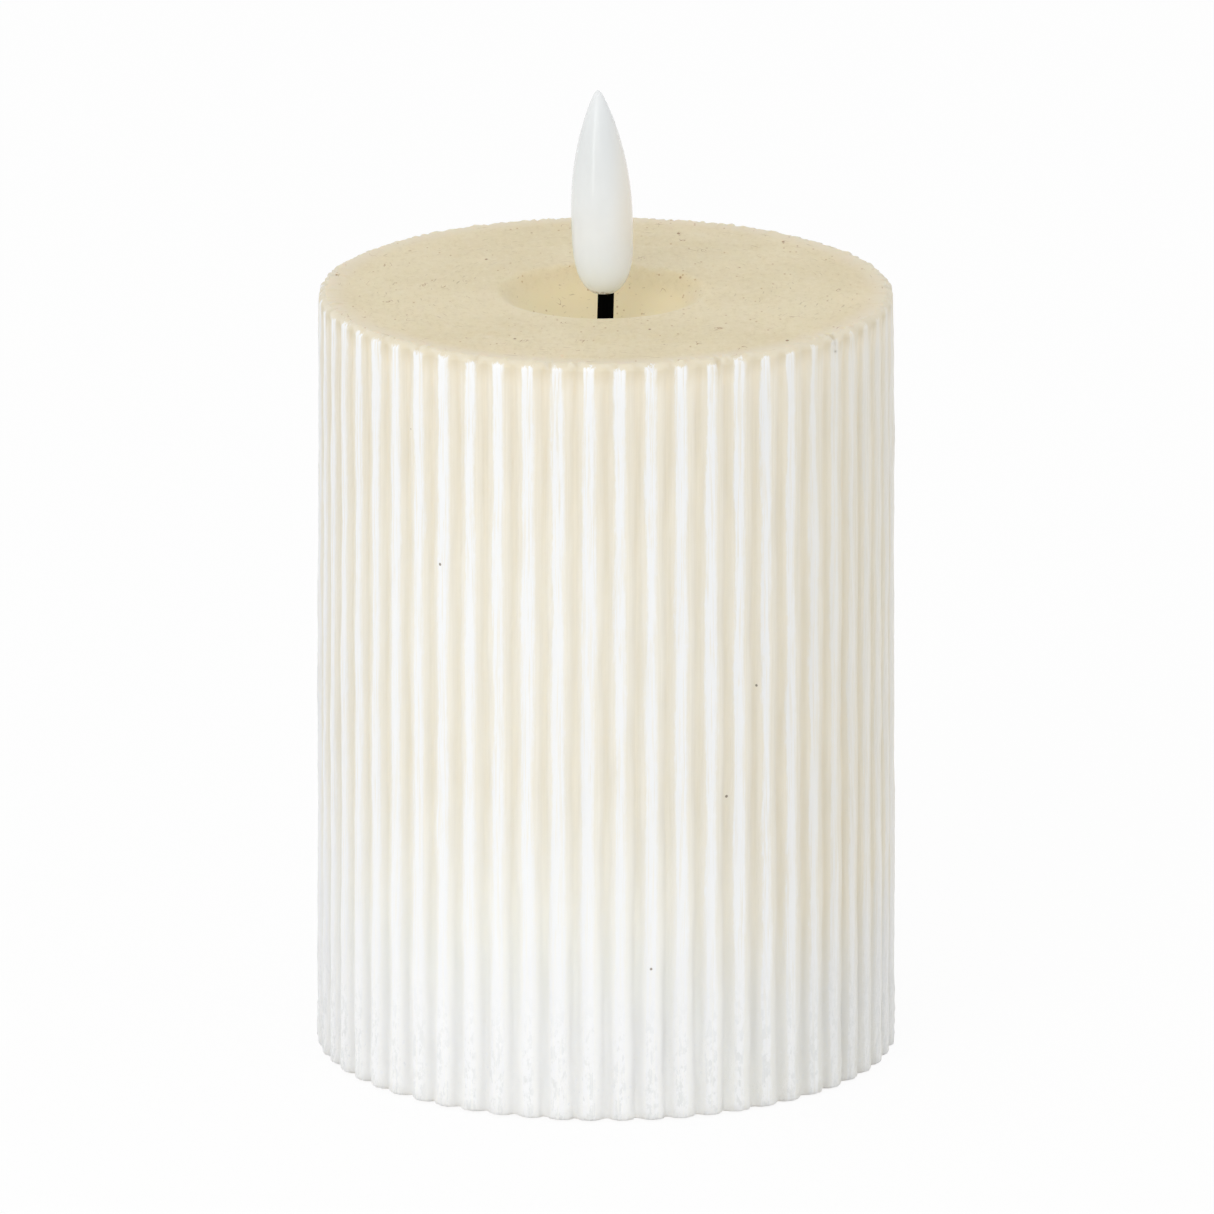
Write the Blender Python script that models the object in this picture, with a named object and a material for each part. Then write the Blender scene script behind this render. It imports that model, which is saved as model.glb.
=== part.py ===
# Flameless LED pillar candle: a fluted wax shell on a moulded base that holds
# two AA cells, a timer board and a slide switch, with a flame lens on a wick.
# Metres, +Z up, the candle stands on z = 0 with its front towards -Y.

from math import asin, cos, hypot, pi, radians, sin, sqrt

import bmesh
import bpy
from mathutils import Matrix, Vector

# Clearances
SEAT = 0.0003                 # between pieces that rest on or sit in each other
RUN = 0.0004                  # beside a piece that slides
EMBED = 0.0005                # how far joined shapes reach into each other
PAST = 0.0010                 # how far a cutter runs past the face it cuts

# Wax shell
MOULD_DRAFT = 0.0005          # how much narrower the radius is at the top than at the foot
WAX_TOP = 0.1005              # height of the flat top
FOOT_LIFT = 0.0002            # the wax clears the table, the base carries it
RIB_COUNT = 58
RIB_DEPTH = 0.0010            # at the foot
TOP_RIB_DEPTH = 0.0006        # under the rim
RIB_SHARE = 0.82              # part of the pitch that the rounded lobe takes
LOBE_POWER = 1.9              # roundness of a lobe, 2 is an ellipse
RIM_ROUND = 0.0010
RIM_RIBS = 0.35               # part of the rib depth that is left at the top edge
FOOT_ROUND = 0.0004
REBATE_WALL = 0.0029          # behind the valleys, beside the base
SHOULDER_STEP = 0.0021        # how much thicker the wall is above the base
CAP_THICKNESS = 0.0100        # from the flat top to the hollow
WELL_DIAMETER = 0.0254
WELL_DEPTH = 0.0060
WELL_OFFSET = (-0.0006, -0.0005)  # the well's middle beside the axis

# Flame and wick
FLAME_LENGTH = 0.0276
FLAME_DIAMETER = 0.0079
FLAME_BELLY = 0.0105          # height of the widest place above the flame's foot
FOOT_POWER = 3.75             # fullness of the flame under its belly
TAPER_POWER = 0.88            # fullness of the flame's taper
FLAME_DROP = 0.0007           # the flame's foot lies this far below the flat top
FLAME_OFFSET = -0.0002        # the flame's foot beside the axis
FLAME_LEAN = radians(-1.8)
WICK_LEAN = radians(1.5)
WICK_DIAMETER = 0.0021
WICK_WALL = 0.0003
WICK_IN_FLAME = 0.0030
WICK_TAIL = 0.0010            # the sleeve reaches this far below its bushing
LED_DIAMETER = 0.0019
LED_LENGTH = 0.0034
LEAD_DIAMETER = 0.0004
LEAD_SPACING = 0.0007
LEAD_TAIL = 0.0060            # the leads reach this far below the sleeve
BUSHING_FLANGE = 0.0140
BUSHING_FLANGE_THICKNESS = 0.0015
BUSHING_STEM = 0.0064
BUSHING_LENGTH = 0.0075
SPLICE_LENGTH = 0.0055
SPLICE_WALL = 0.0003
SPLICE_SPACING = 0.0030

# Cells and contacts
CELL_DIAMETER = 0.0145
CELL_LENGTH = 0.0505
BUTTON_DIAMETER = 0.0055
BUTTON_HEIGHT = 0.0011
PLATE_THICKNESS = 0.0004
PLATE_WIDTH = 0.0110
PLATE_LOW = 0.0048
PLATE_HIGH = 0.0155
TAB_WIDTH = 0.0030
TAB_RISE = 0.0022             # the solder tab above the tray roof
SPRING_LENGTH = 0.0044
SPRING_WIRE = 0.0006
SPRING_TURNS = 3
SPRING_STEPS = 10             # points in a turn
SPRING_FOOT = 0.0042          # radius at the plate
SPRING_TIP = 0.0026           # radius at the cell

# Base and door
SKIRT_HEIGHT = 0.0220
SKIRT_WALL = 0.0014
SKIRT_MARGIN = 0.0003         # from the tray's corners to the skirt's outside
FLOOR = 0.0020
TRAY_WALL = 0.0012
TRAY_ROOF = 0.0014
TRAY_CORNER = 0.0028          # inside corner of the tray
DOOR_LIFT = 0.0003            # the door lies this far above the table
DOOR_THICKNESS = 0.0017
DOOR_RIB = 0.0005             # saddle ribs on the door that carry the cells
LEDGE_WIDTH = 0.0014
LEDGE_HEIGHT = 0.0015
LEDGE_LENGTH = 0.0360
TONGUE_WIDTH = 0.0050
TONGUE_SPACING = 0.0160
TONGUE_REACH = 0.0011
TONGUE_THICKNESS = 0.0012
LATCH_WIDTH = 0.0100
LATCH_LENGTH = 0.0110
LATCH_SLIT = 0.0008
LATCH_GROOVES = 4
GROOVE_DEPTH = 0.0004
SCOOP_RADIUS = 0.0060
SCOOP_DEPTH = 0.0011

# Board and switch
BOARD_LENGTH = 0.0280
BOARD_WIDTH = 0.0100
BOARD_THICKNESS = 0.0012
BOARD_GAP = 0.0010            # between the board and the tray's side wall
BOSS_DIAMETER = 0.0044
BOSS_SPACING = 0.0224
SCREW_SHANK = 0.0016
SCREW_HEAD = 0.0036
SCREW_HEAD_HEIGHT = 0.0012
SCREW_CROWN = 0.0022          # flat on the head
CROSS_SLOT = (0.0020, 0.0004)  # length and width of each slot of the cross
SCREW_LENGTH = 0.0055
CAN_WALL = 0.0005
CAN_HEIGHT = 0.0035
CAN_LIFT = 0.0012             # the can above the base floor
WAFER_THICKNESS = 0.0008
SLIDER_TRAVEL = 0.0020        # each way from the middle
NUB_LENGTH = 0.0032
NUB_WIDTH = 0.0024
NUB_LIFT = 0.0005             # the nub's end above the table
NUB_GROOVES = 3
CARRIAGE_LENGTH = 0.0052
CARRIAGE_WIDTH = 0.0034
CARRIAGE_HEIGHT = 0.0016
DISH_LENGTH = 0.0130
DISH_WIDTH = 0.0070
DISH_DEPTH = 0.0006
TERMINAL_COUNT = 4
TERMINAL_SPACING = 0.0025
TERMINAL_DIAMETER = 0.0007
WIRE_DIAMETER = 0.0012

# Facets
WAX_SEGMENTS = 72
ROUND_SEGMENTS = 24
SMALL_SEGMENTS = 12

# Places that follow from the sizes above: the cells set the tray, the tray the base, the base the wax
CELL_RADIUS = CELL_DIAMETER / 2
CELL_Y = (CELL_DIAMETER + SEAT) / 2
DOOR_TOP = DOOR_LIFT + DOOR_THICKNESS
CELL_Z = DOOR_TOP + DOOR_RIB + SEAT + CELL_RADIUS
TRAY_TOP = CELL_Z + CELL_RADIUS + SEAT
ROOF_TOP = TRAY_TOP + TRAY_ROOF
TRAY_X = (CELL_LENGTH + SPRING_LENGTH + 2 * PLATE_THICKNESS + 5 * SEAT) / 2
TRAY_Y = CELL_Y + CELL_RADIUS + SEAT
TRAY_REACH = hypot(TRAY_X - TRAY_CORNER, TRAY_Y - TRAY_CORNER) + TRAY_CORNER + TRAY_WALL
PLATE_X = TRAY_X - SEAT - PLATE_THICKNESS
DOOR_X = TRAY_X - SEAT
DOOR_Y = TRAY_Y - SEAT
HINGE = Vector((-DOOR_X, 0, DOOR_LIFT))
TAB_TOP = ROOF_TOP + TAB_RISE

BASE_RADIUS = TRAY_REACH + SKIRT_MARGIN
REBATE_RADIUS = BASE_RADIUS + SEAT
BORE_RADIUS = REBATE_RADIUS - SHOULDER_STEP
TOP_RADIUS = REBATE_RADIUS + REBATE_WALL + RIB_DEPTH
FOOT_RADIUS = TOP_RADIUS + MOULD_DRAFT
SHOULDER = SKIRT_HEIGHT + SEAT
WAX_ROOF = WAX_TOP - CAP_THICKNESS

CAN_LOW = FLOOR + CAN_LIFT
CAN_TOP = CAN_LOW + CAN_HEIGHT
WAFER_LOW = CAN_TOP + SEAT
WAFER_TOP = WAFER_LOW + WAFER_THICKNESS
BOARD_LOW = WAFER_TOP + SEAT
BOARD_TOP = BOARD_LOW + BOARD_THICKNESS
BOARD_Y = -(TRAY_Y + TRAY_WALL + BOARD_GAP + BOARD_WIDTH / 2)
WINDOW_X = NUB_LENGTH / 2 + SLIDER_TRAVEL + RUN
WINDOW_Y = NUB_WIDTH / 2 + RUN
CAN_INNER_X = CARRIAGE_LENGTH / 2 + SLIDER_TRAVEL + RUN
CAN_INNER_Y = CARRIAGE_WIDTH / 2 + RUN
CAN_X = CAN_INNER_X + CAN_WALL
CAN_Y = CAN_INNER_Y + CAN_WALL

WICK_RADIUS = WICK_DIAMETER / 2
WICK_BORE = WICK_RADIUS + SEAT
BUSHING_LOW = -CAP_THICKNESS - SEAT - BUSHING_FLANGE_THICKNESS - BUSHING_LENGTH
WICK_LOW = BUSHING_LOW - WICK_TAIL
LEAD_END = WICK_LOW - LEAD_TAIL
WIRE_RADIUS = WIRE_DIAMETER / 2


def clear_scene():
    for item in list(bpy.data.objects):
        bpy.data.objects.remove(item, do_unlink=True)


def material(name, colour, roughness, metallic=0.0):
    """A Principled material with one colour, or the one already made under this name."""
    found = bpy.data.materials.get(name)
    if found:
        return found
    made = bpy.data.materials.new(name)
    made.use_nodes = True
    shader = made.node_tree.nodes["Principled BSDF"]
    shader.inputs["Base Color"].default_value = (*colour, 1.0)
    shader.inputs["Roughness"].default_value = roughness
    shader.inputs["Metallic"].default_value = metallic
    return made


def finish_mesh(bm, name, smooth_angle=None):
    """Turn a bmesh into a mesh whose faces point out."""
    bmesh.ops.recalc_face_normals(bm, faces=bm.faces[:])
    mesh = bpy.data.meshes.new(name)
    bm.to_mesh(mesh)
    bm.free()
    if smooth_angle is not None:
        mesh.shade_smooth()
        mesh.set_sharp_from_angle(angle=smooth_angle)
    return mesh


def add(name, mesh, finish=None, parent=None):
    """Put a mesh in the scene; without a finish it is a hidden cutter or joined shape."""
    made = bpy.data.objects.new(name, mesh)
    bpy.context.scene.collection.objects.link(made)
    made.parent = parent
    if finish is None:
        made.hide_render = True
        made.display_type = "WIRE"
    else:
        mesh.materials.append(finish)
    return made


def join_rings(bm, rings, closed=False):
    """Bridge rings of vertices in order; a ring of one vertex is a pole."""
    pairs = list(zip(rings, rings[1:]))
    if closed:
        pairs.append((rings[-1], rings[0]))
    for low, high in pairs:
        count = max(len(low), len(high))
        for i in range(count):
            j = (i + 1) % count
            corners = (low[i % len(low)], low[j % len(low)], high[j % len(high)], high[i % len(high)])
            bm.faces.new(list(dict.fromkeys(corners)))


def turned(name, profile, segments=ROUND_SEGMENTS, closed=False):
    """Revolve (radius, height) points about Z."""
    bm = bmesh.new()
    rings = []
    for radius, height in profile:
        count = 1 if radius == 0 else segments
        ring = []
        for i in range(count):
            angle = 2 * pi * i / count
            ring.append(bm.verts.new((radius * cos(angle), radius * sin(angle), height)))
        rings.append(ring)
    join_rings(bm, rings, closed)
    return finish_mesh(bm, name, radians(35))


def tube_mesh(name, inner, outer, low, high, segments=SMALL_SEGMENTS):
    """A plain pipe about Z."""
    return turned(name, [(inner, low), (outer, low), (outer, high), (inner, high)], segments, closed=True)


def rod(name, radius, low, high, segments=SMALL_SEGMENTS):
    """A plain round bar about Z."""
    return turned(name, [(0, low), (radius, low), (radius, high), (0, high)], segments)


def loft(name, sections):
    """Bridge equal outlines, each a height and its (x, y) points, and cap both ends."""
    bm = bmesh.new()
    rings = []
    for height, outline in sections:
        rings.append([bm.verts.new((x, y, height)) for x, y in outline])
    join_rings(bm, rings)
    bm.faces.new(rings[0])
    bm.faces.new(rings[-1])
    return finish_mesh(bm, name, radians(35))


def slab(name, outline, low, high):
    """Extrude an outline along Z."""
    return loft(name, [(low, outline), (high, outline)])


def rectangle(half_x, half_y, radius=0.0, middle=(0.0, 0.0), steps=4):
    """A rectangle's outline about its middle, with round corners."""
    points = []
    for quarter in range(4):
        sign_x = 1 if quarter in (0, 3) else -1
        sign_y = 1 if quarter in (0, 1) else -1
        corner_x = middle[0] + sign_x * (half_x - radius)
        corner_y = middle[1] + sign_y * (half_y - radius)
        count = steps if radius > 0 else 0
        for i in range(count + 1):
            angle = (quarter + (i / count if count else 0)) * pi / 2
            points.append((corner_x + radius * cos(angle), corner_y + radius * sin(angle)))
    return points


def box(name, x, y, z):
    """A block between pairs of coordinates."""
    return slab(name, [(x[0], y[0]), (x[1], y[0]), (x[1], y[1]), (x[0], y[1])], z[0], z[1])


def combine(target, shape, operation):
    """Join a hidden shape to a piece, or cut it out."""
    step = target.modifiers.new(shape.name, "BOOLEAN")
    step.operation = operation
    step.solver = "EXACT"
    step.object = shape


def fuse(target, name, mesh, parent=None):
    combine(target, add(name, mesh, parent=parent), "UNION")


def cut(target, name, mesh, parent=None):
    combine(target, add(name, mesh, parent=parent), "DIFFERENCE")


def set_origin(piece, point):
    """Move a piece's origin to a point on its joint."""
    piece.data.transform(Matrix.Translation(-point))
    piece.location = point


def wire(name, points, diameter, finish, resolution=2):
    """A round wire along points, with closed ends."""
    curve = bpy.data.curves.new(name, "CURVE")
    curve.dimensions = "3D"
    spline = curve.splines.new("POLY")
    spline.points.add(len(points) - 1)
    for place, point in zip(spline.points, points):
        place.co = (*point, 1.0)
    curve.bevel_depth = diameter / 2
    curve.bevel_resolution = resolution
    curve.use_fill_caps = True
    return add(name, curve, finish)


def smooth_route(points, spacing):
    """Points along a smooth curve through a route's own points."""
    route = [Vector(point) for point in points]
    padded = [2 * route[0] - route[1]] + route + [2 * route[-1] - route[-2]]
    result = [route[0]]
    for before, start, end, after in zip(padded, padded[1:], padded[2:], padded[3:]):
        count = max(2, round((end - start).length / spacing))
        for i in range(1, count + 1):
            t = i / count
            bend = 2 * start + (end - before) * t
            bend += (2 * before - 5 * start + 4 * end - after) * t ** 2
            bend += (3 * start - before - 3 * end + after) * t ** 3
            result.append(bend / 2)
    return result


# Finishes
WAX = ((0.80, 0.74, 0.60), 0.40)
BLACK_PLASTIC = ((0.018, 0.018, 0.019), 0.45)
NICKEL = ((0.62, 0.61, 0.58), 0.25, 1.0)


def rib_outline(crest_radius, depth=RIB_DEPTH):
    """One turn of rounded lobes and narrow valleys, with a valley at the front."""
    pitch = 2 * pi / RIB_COUNT
    points = []
    for rib in range(RIB_COUNT):
        for step in range(-3, 4):
            across = sin(step * pi / 6)
            height = (1 - abs(across) ** LOBE_POWER) ** (1 / LOBE_POWER)
            angle = -pi / 2 + (rib + 0.5 + across * RIB_SHARE / 2) * pitch
            radius = crest_radius - depth * (1 - height)
            points.append((radius * cos(angle), radius * sin(angle)))
    return points


def crest(height):
    """Crest radius of the drafted wall at a height."""
    return FOOT_RADIUS + (TOP_RADIUS - FOOT_RADIUS) * height / WAX_TOP


def make_wax_shell(wick_line):
    middle = RIM_ROUND * (1 - cos(pi / 4))
    rim_steps = [(RIM_ROUND, 0.0), (middle, middle), (0.0, RIM_ROUND)]
    sections = [(FOOT_LIFT, rib_outline(crest(0) - FOOT_ROUND))]
    sections.append((FOOT_LIFT + FOOT_ROUND, rib_outline(crest(0))))
    for below, inset in rim_steps:
        height = WAX_TOP - below
        depth = TOP_RIB_DEPTH * (1 - (1 - RIM_RIBS) * inset / RIM_ROUND)
        sections.append((height, rib_outline(crest(height) - inset, depth)))
    shell = add("wax_shell", loft("wax_shell", sections), material("ivory_wax", *WAX))

    hollow = [(0, FOOT_LIFT - PAST), (REBATE_RADIUS, FOOT_LIFT - PAST), (REBATE_RADIUS, SHOULDER)]
    hollow += [(BORE_RADIUS, SHOULDER), (BORE_RADIUS, WAX_ROOF), (0, WAX_ROOF)]
    cut(shell, "hollow", turned("hollow", hollow, WAX_SEGMENTS))

    rim = WELL_DIAMETER / 2
    ball = (rim ** 2 + WELL_DEPTH ** 2) / (2 * WELL_DEPTH)
    sweep = asin(rim / ball)
    bowl = [(0, WAX_TOP - WELL_DEPTH)]
    for i in range(1, 7):
        angle = sweep * i / 6
        bowl.append((ball * sin(angle), WAX_TOP - WELL_DEPTH + ball * (1 - cos(angle))))
    bowl += [(rim, WAX_TOP + PAST), (0, WAX_TOP + PAST)]
    well = turned("well", bowl, 2 * ROUND_SEGMENTS)
    well.transform(Matrix.Translation((*WELL_OFFSET, 0)))
    cut(shell, "well", well)
    cut(shell, "wick_hole", rod("wick_hole", WICK_BORE, -CAP_THICKNESS - PAST, PAST), wick_line)


def flame_radius(height):
    """Radius of the flame at a height above its foot: a round belly under a long taper."""
    if height < FLAME_BELLY:
        below = 1 - height / FLAME_BELLY
        return FLAME_DIAMETER / 2 * sqrt(1 - below ** FOOT_POWER)
    above = (height - FLAME_BELLY) / (FLAME_LENGTH - FLAME_BELLY)
    return FLAME_DIAMETER / 2 * (1 - above ** 2) ** TAPER_POWER


def make_flame(wick_line):
    rings = 18
    profile = [(0, 0)]
    for i in range(1, rings):
        height = FLAME_LENGTH * (1 - cos(pi * i / rings)) / 2
        profile.append((flame_radius(height), height))
    profile.append((0, FLAME_LENGTH))
    finish = material("flame_white", (0.86, 0.84, 0.78), 0.3)
    flame = add("flame_lens", turned("flame_lens", profile), finish)
    flame.location = (FLAME_OFFSET, 0, WAX_TOP - FLAME_DROP)
    flame.rotation_euler = (0, FLAME_LEAN, 0)
    bore_top = WICK_IN_FLAME + LED_LENGTH + 2 * SEAT
    cut(flame, "flame_bore", rod("flame_bore", WICK_BORE, -PAST - FLAME_DROP, bore_top), wick_line)


def make_wick(wick_line):
    sleeve = tube_mesh("wick_sleeve", WICK_RADIUS - WICK_WALL, WICK_RADIUS, WICK_LOW, WICK_IN_FLAME)
    add("wick_sleeve", sleeve, material("black_sleeve", (0.012, 0.012, 0.012), 0.6), wick_line)

    led_low = WICK_IN_FLAME + SEAT
    dome = LED_DIAMETER / 2
    profile = [(0, led_low), (WICK_RADIUS, led_low), (WICK_RADIUS, led_low + 2 * EMBED)]
    profile.append((dome, led_low + 2 * EMBED))
    for i in range(4):
        angle = pi / 2 * i / 4
        profile.append((dome * cos(angle), led_low + LED_LENGTH - dome + dome * sin(angle)))
    profile.append((0, led_low + LED_LENGTH))
    finish = material("led_epoxy", (0.85, 0.80, 0.62), 0.15)
    add("led", turned("led", profile, SMALL_SEGMENTS), finish, wick_line)

    for name, side in (("led_lead_anode", 1), ("led_lead_cathode", -1)):
        near = side * LEAD_SPACING / 2
        far = side * SPLICE_SPACING / 2
        route = [(near, 0, led_low - SEAT), (near, 0, WICK_LOW - SEAT)]
        route += [(far, 0, (WICK_LOW + LEAD_END) / 2), (far, 0, LEAD_END)]
        lead = wire(name, route, LEAD_DIAMETER, material("tinned_wire", *NICKEL), 0)
        lead.parent = wick_line

    stem_low = WAX_TOP + BUSHING_LOW
    flange_low = stem_low + BUSHING_LENGTH
    profile = [(0, stem_low), (BUSHING_STEM / 2, stem_low), (BUSHING_STEM / 2, flange_low)]
    profile += [(BUSHING_FLANGE / 2, flange_low), (BUSHING_FLANGE / 2, WAX_ROOF - SEAT)]
    profile.append((0, WAX_ROOF - SEAT))
    finish = material("ivory_plastic", (0.72, 0.68, 0.58), 0.4)
    bushing = add("wick_bushing", turned("wick_bushing", profile), finish)
    bore = rod("bushing_bore", WICK_BORE, BUSHING_LOW - PAST, -CAP_THICKNESS + PAST)
    cut(bushing, "bushing_bore", bore, wick_line)


def splice_end(side, wick_line):
    """Where a wire meets its lead, in the candle's own frame."""
    return wick_line.matrix_world @ Vector((side * SPLICE_SPACING / 2, 0, LEAD_END - SEAT))


def make_splices(wick_line):
    inner = WIRE_RADIUS + SEAT
    middle = LEAD_END - SEAT / 2
    kinds = (("splice_red", 1, (0.45, 0.03, 0.02)), ("splice_black", -1, (0.02, 0.02, 0.02)))
    for name, side, colour in kinds:
        low = middle - SPLICE_LENGTH / 2
        high = middle + SPLICE_LENGTH / 2
        mesh = tube_mesh(name, inner, inner + SPLICE_WALL, low, high)
        mesh.transform(Matrix.Translation((side * SPLICE_SPACING / 2, 0, 0)))
        add(name, mesh, material(name, colour, 0.5), wick_line)


def make_base():
    skirt = [(0, 0), (BASE_RADIUS, 0), (BASE_RADIUS, SKIRT_HEIGHT)]
    skirt += [(BASE_RADIUS - SKIRT_WALL, SKIRT_HEIGHT), (BASE_RADIUS - SKIRT_WALL, FLOOR), (0, FLOOR)]
    finish = material("black_plastic", *BLACK_PLASTIC)
    base = add("base_housing", turned("base_housing", skirt, WAX_SEGMENTS), finish)

    tray = rectangle(TRAY_X + TRAY_WALL, TRAY_Y + TRAY_WALL, TRAY_CORNER + TRAY_WALL)
    fuse(base, "tray_block", slab("tray_block", tray, FLOOR - EMBED, ROOF_TOP))
    for side in (-1, 1):
        middle = (side * BOSS_SPACING / 2, BOARD_Y)
        boss = rod("board_boss", BOSS_DIAMETER / 2, FLOOR - EMBED, BOARD_LOW - SEAT, ROUND_SEGMENTS)
        boss.transform(Matrix.Translation((*middle, 0)))
        fuse(base, "board_boss", boss)

    cavity = rectangle(TRAY_X, TRAY_Y, TRAY_CORNER)
    cut(base, "tray_cavity", slab("tray_cavity", cavity, -PAST, TRAY_TOP))
    ledge_z = (DOOR_TOP + SEAT, DOOR_TOP + SEAT + LEDGE_HEIGHT)
    for side in (-1, 1):
        ledge_y = sorted((side * (TRAY_Y - LEDGE_WIDTH), side * (TRAY_Y + EMBED)))
        ledge_x = (-LEDGE_LENGTH / 2, LEDGE_LENGTH / 2)
        fuse(base, "door_ledge", box("door_ledge", ledge_x, ledge_y, ledge_z))
    add_contact_lugs(base)

    for side in (-1, 1):
        reach = TRAY_X + TRAY_WALL + PAST
        middle = side * TONGUE_SPACING / 2
        slot_y = (middle - TONGUE_WIDTH / 2 - RUN, middle + TONGUE_WIDTH / 2 + RUN)
        slot_z = (FLOOR, DOOR_TOP + SEAT + TONGUE_THICKNESS + 2 * RUN)
        cut(base, "tongue_slot", box("tongue_slot", (-reach, -TRAY_X + PAST), slot_y, slot_z))
        tab_y = (side * CELL_Y - TAB_WIDTH / 2 - SEAT, side * CELL_Y + TAB_WIDTH / 2 + SEAT)
        tab_x = (PLATE_X - SEAT, PLATE_X + PLATE_THICKNESS + SEAT)
        cut(base, "tab_slot", box("tab_slot", tab_x, tab_y, (TRAY_TOP - PAST, ROOF_TOP + PAST)))
        pilot_low = BOARD_TOP - SCREW_LENGTH
        pilot = rod("screw_hole", SCREW_SHANK / 2 + SEAT, pilot_low, BOARD_LOW)
        pilot.transform(Matrix.Translation((side * BOSS_SPACING / 2, BOARD_Y, 0)))
        cut(base, "screw_hole", pilot)

    window = rectangle(WINDOW_X, WINDOW_Y, WINDOW_Y / 2, (0, BOARD_Y))
    cut(base, "switch_slot", slab("switch_slot", window, -PAST, FLOOR + PAST))
    dish = rectangle(DISH_LENGTH / 2, DISH_WIDTH / 2, DISH_WIDTH / 3, (0, BOARD_Y))
    cut(base, "switch_dish", slab("switch_dish", dish, -PAST, DISH_DEPTH))
    bowl = [(0, -PAST), (SCOOP_RADIUS, -PAST), (SCOOP_RADIUS / 2, SCOOP_DEPTH), (0, SCOOP_DEPTH)]
    scoop = turned("latch_scoop", bowl)
    scoop.transform(Matrix.Translation((DOOR_X, 0, 0)))
    cut(base, "latch_scoop", scoop)


def add_contact_lugs(base):
    """Lugs on the tray's end walls with the slots that the contact plates slide into."""
    lug_reach = 2 * SEAT + 2 * PLATE_THICKNESS + SEAT
    edge = PLATE_WIDTH / 2
    for end in (-1, 1):
        lug_x = sorted((end * (TRAY_X + EMBED), end * (TRAY_X - lug_reach)))
        for middle in (-CELL_Y - edge, CELL_Y + edge):
            lug_y = (middle - 2 * EMBED, middle + 2 * EMBED)
            fuse(base, "contact_lug", box("contact_lug", lug_x, lug_y, (PLATE_LOW, TRAY_TOP + EMBED)))
        slot_x = sorted((end * TRAY_X, end * (PLATE_X - SEAT)))
        slot_y = (-CELL_Y - edge - SEAT, CELL_Y + edge + SEAT)
        cut(base, "plate_slot", box("plate_slot", slot_x, slot_y, (PLATE_LOW - PAST, PLATE_HIGH + SEAT)))


def make_door():
    finish = material("door_plastic", *BLACK_PLASTIC)
    plate = rectangle(DOOR_X, DOOR_Y, TRAY_CORNER - SEAT)
    door = add("battery_door", slab("battery_door", plate, DOOR_LIFT, DOOR_TOP), finish)
    set_origin(door, HINGE)
    tongue_low = DOOR_TOP + SEAT
    tongue_top = tongue_low + TONGUE_THICKNESS
    for side in (-1, 1):
        middle = side * TONGUE_SPACING / 2
        width = (middle - TONGUE_WIDTH / 2, middle + TONGUE_WIDTH / 2)
        riser_x = (-DOOR_X, -DOOR_X + TONGUE_THICKNESS)
        riser_z = (DOOR_TOP - EMBED, tongue_top)
        fuse(door, "tongue_riser", box("tongue_riser", riser_x, width, riser_z))
        reach = (-DOOR_X - TONGUE_REACH, -DOOR_X + EMBED)
        fuse(door, "tongue", box("tongue", reach, width, (tongue_low, tongue_top)))
        rib_y = (side * CELL_Y - 2 * EMBED, side * CELL_Y + 2 * EMBED)
        rib_x = (-LEDGE_LENGTH / 2, LEDGE_LENGTH / 2)
        fuse(door, "saddle_rib", box("saddle_rib", rib_x, rib_y, (DOOR_TOP - EMBED, DOOR_TOP + DOOR_RIB)))
        slit_y = sorted((side * LATCH_WIDTH / 2, side * (LATCH_WIDTH / 2 + LATCH_SLIT)))
        slit_x = (DOOR_X - LATCH_LENGTH, DOOR_X + PAST)
        cut(door, "latch_slit", box("latch_slit", slit_x, slit_y, (DOOR_LIFT - PAST, DOOR_TOP + PAST)))
    groove_pitch = LATCH_LENGTH / (2 * LATCH_GROOVES)
    for i in range(LATCH_GROOVES):
        near = DOOR_X - groove_pitch * (i + 1)
        groove_x = (near - groove_pitch / 2, near)
        groove_y = (-LATCH_WIDTH / 3, LATCH_WIDTH / 3)
        groove_z = (DOOR_LIFT - PAST, DOOR_LIFT + GROOVE_DEPTH)
        cut(door, "latch_groove", box("latch_groove", groove_x, groove_y, groove_z))


def make_cell(name, side):
    """An AA cell along X; the side gives its place and where its button points."""
    radius = CELL_RADIUS
    round_off = 2 * EMBED
    shoulder = CELL_LENGTH - BUTTON_HEIGHT
    profile = [(0, 0), (radius - round_off, 0), (radius, round_off), (radius, shoulder - round_off)]
    profile += [(radius - round_off, shoulder), (BUTTON_DIAMETER / 2, shoulder)]
    profile += [(BUTTON_DIAMETER / 2, CELL_LENGTH), (0, CELL_LENGTH)]
    cell = add(name, turned(name, profile), material("cell_jacket", (0.05, 0.12, 0.06), 0.3))
    button_end = side * (PLATE_X - SEAT)
    cell.location = (button_end - side * CELL_LENGTH, side * CELL_Y, CELL_Z)
    cell.rotation_euler = (0, side * pi / 2, 0)


def make_plate(name, end, middle_y, width, with_tab):
    """A sheet contact across X that slides into its lugs, with a solder tab through the roof."""
    half = width / 2
    outline = [(-half, PLATE_LOW), (half, PLATE_LOW), (half, PLATE_HIGH)]
    if with_tab:
        outline += [(TAB_WIDTH / 2, PLATE_HIGH), (TAB_WIDTH / 2, TAB_TOP)]
        outline += [(-TAB_WIDTH / 2, TAB_TOP), (-TAB_WIDTH / 2, PLATE_HIGH)]
    outline.append((-half, PLATE_HIGH))
    mesh = slab(name, outline, 0, PLATE_THICKNESS)
    stand = Matrix(((0, 0, 1, 0), (1, 0, 0, 0), (0, 1, 0, 0), (0, 0, 0, 1)))
    mesh.transform(stand)
    plate = add(name, mesh, material("nickel_sheet", *NICKEL))
    plate.location = (PLATE_X if end > 0 else -PLATE_X - PLATE_THICKNESS, middle_y, 0)


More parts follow.
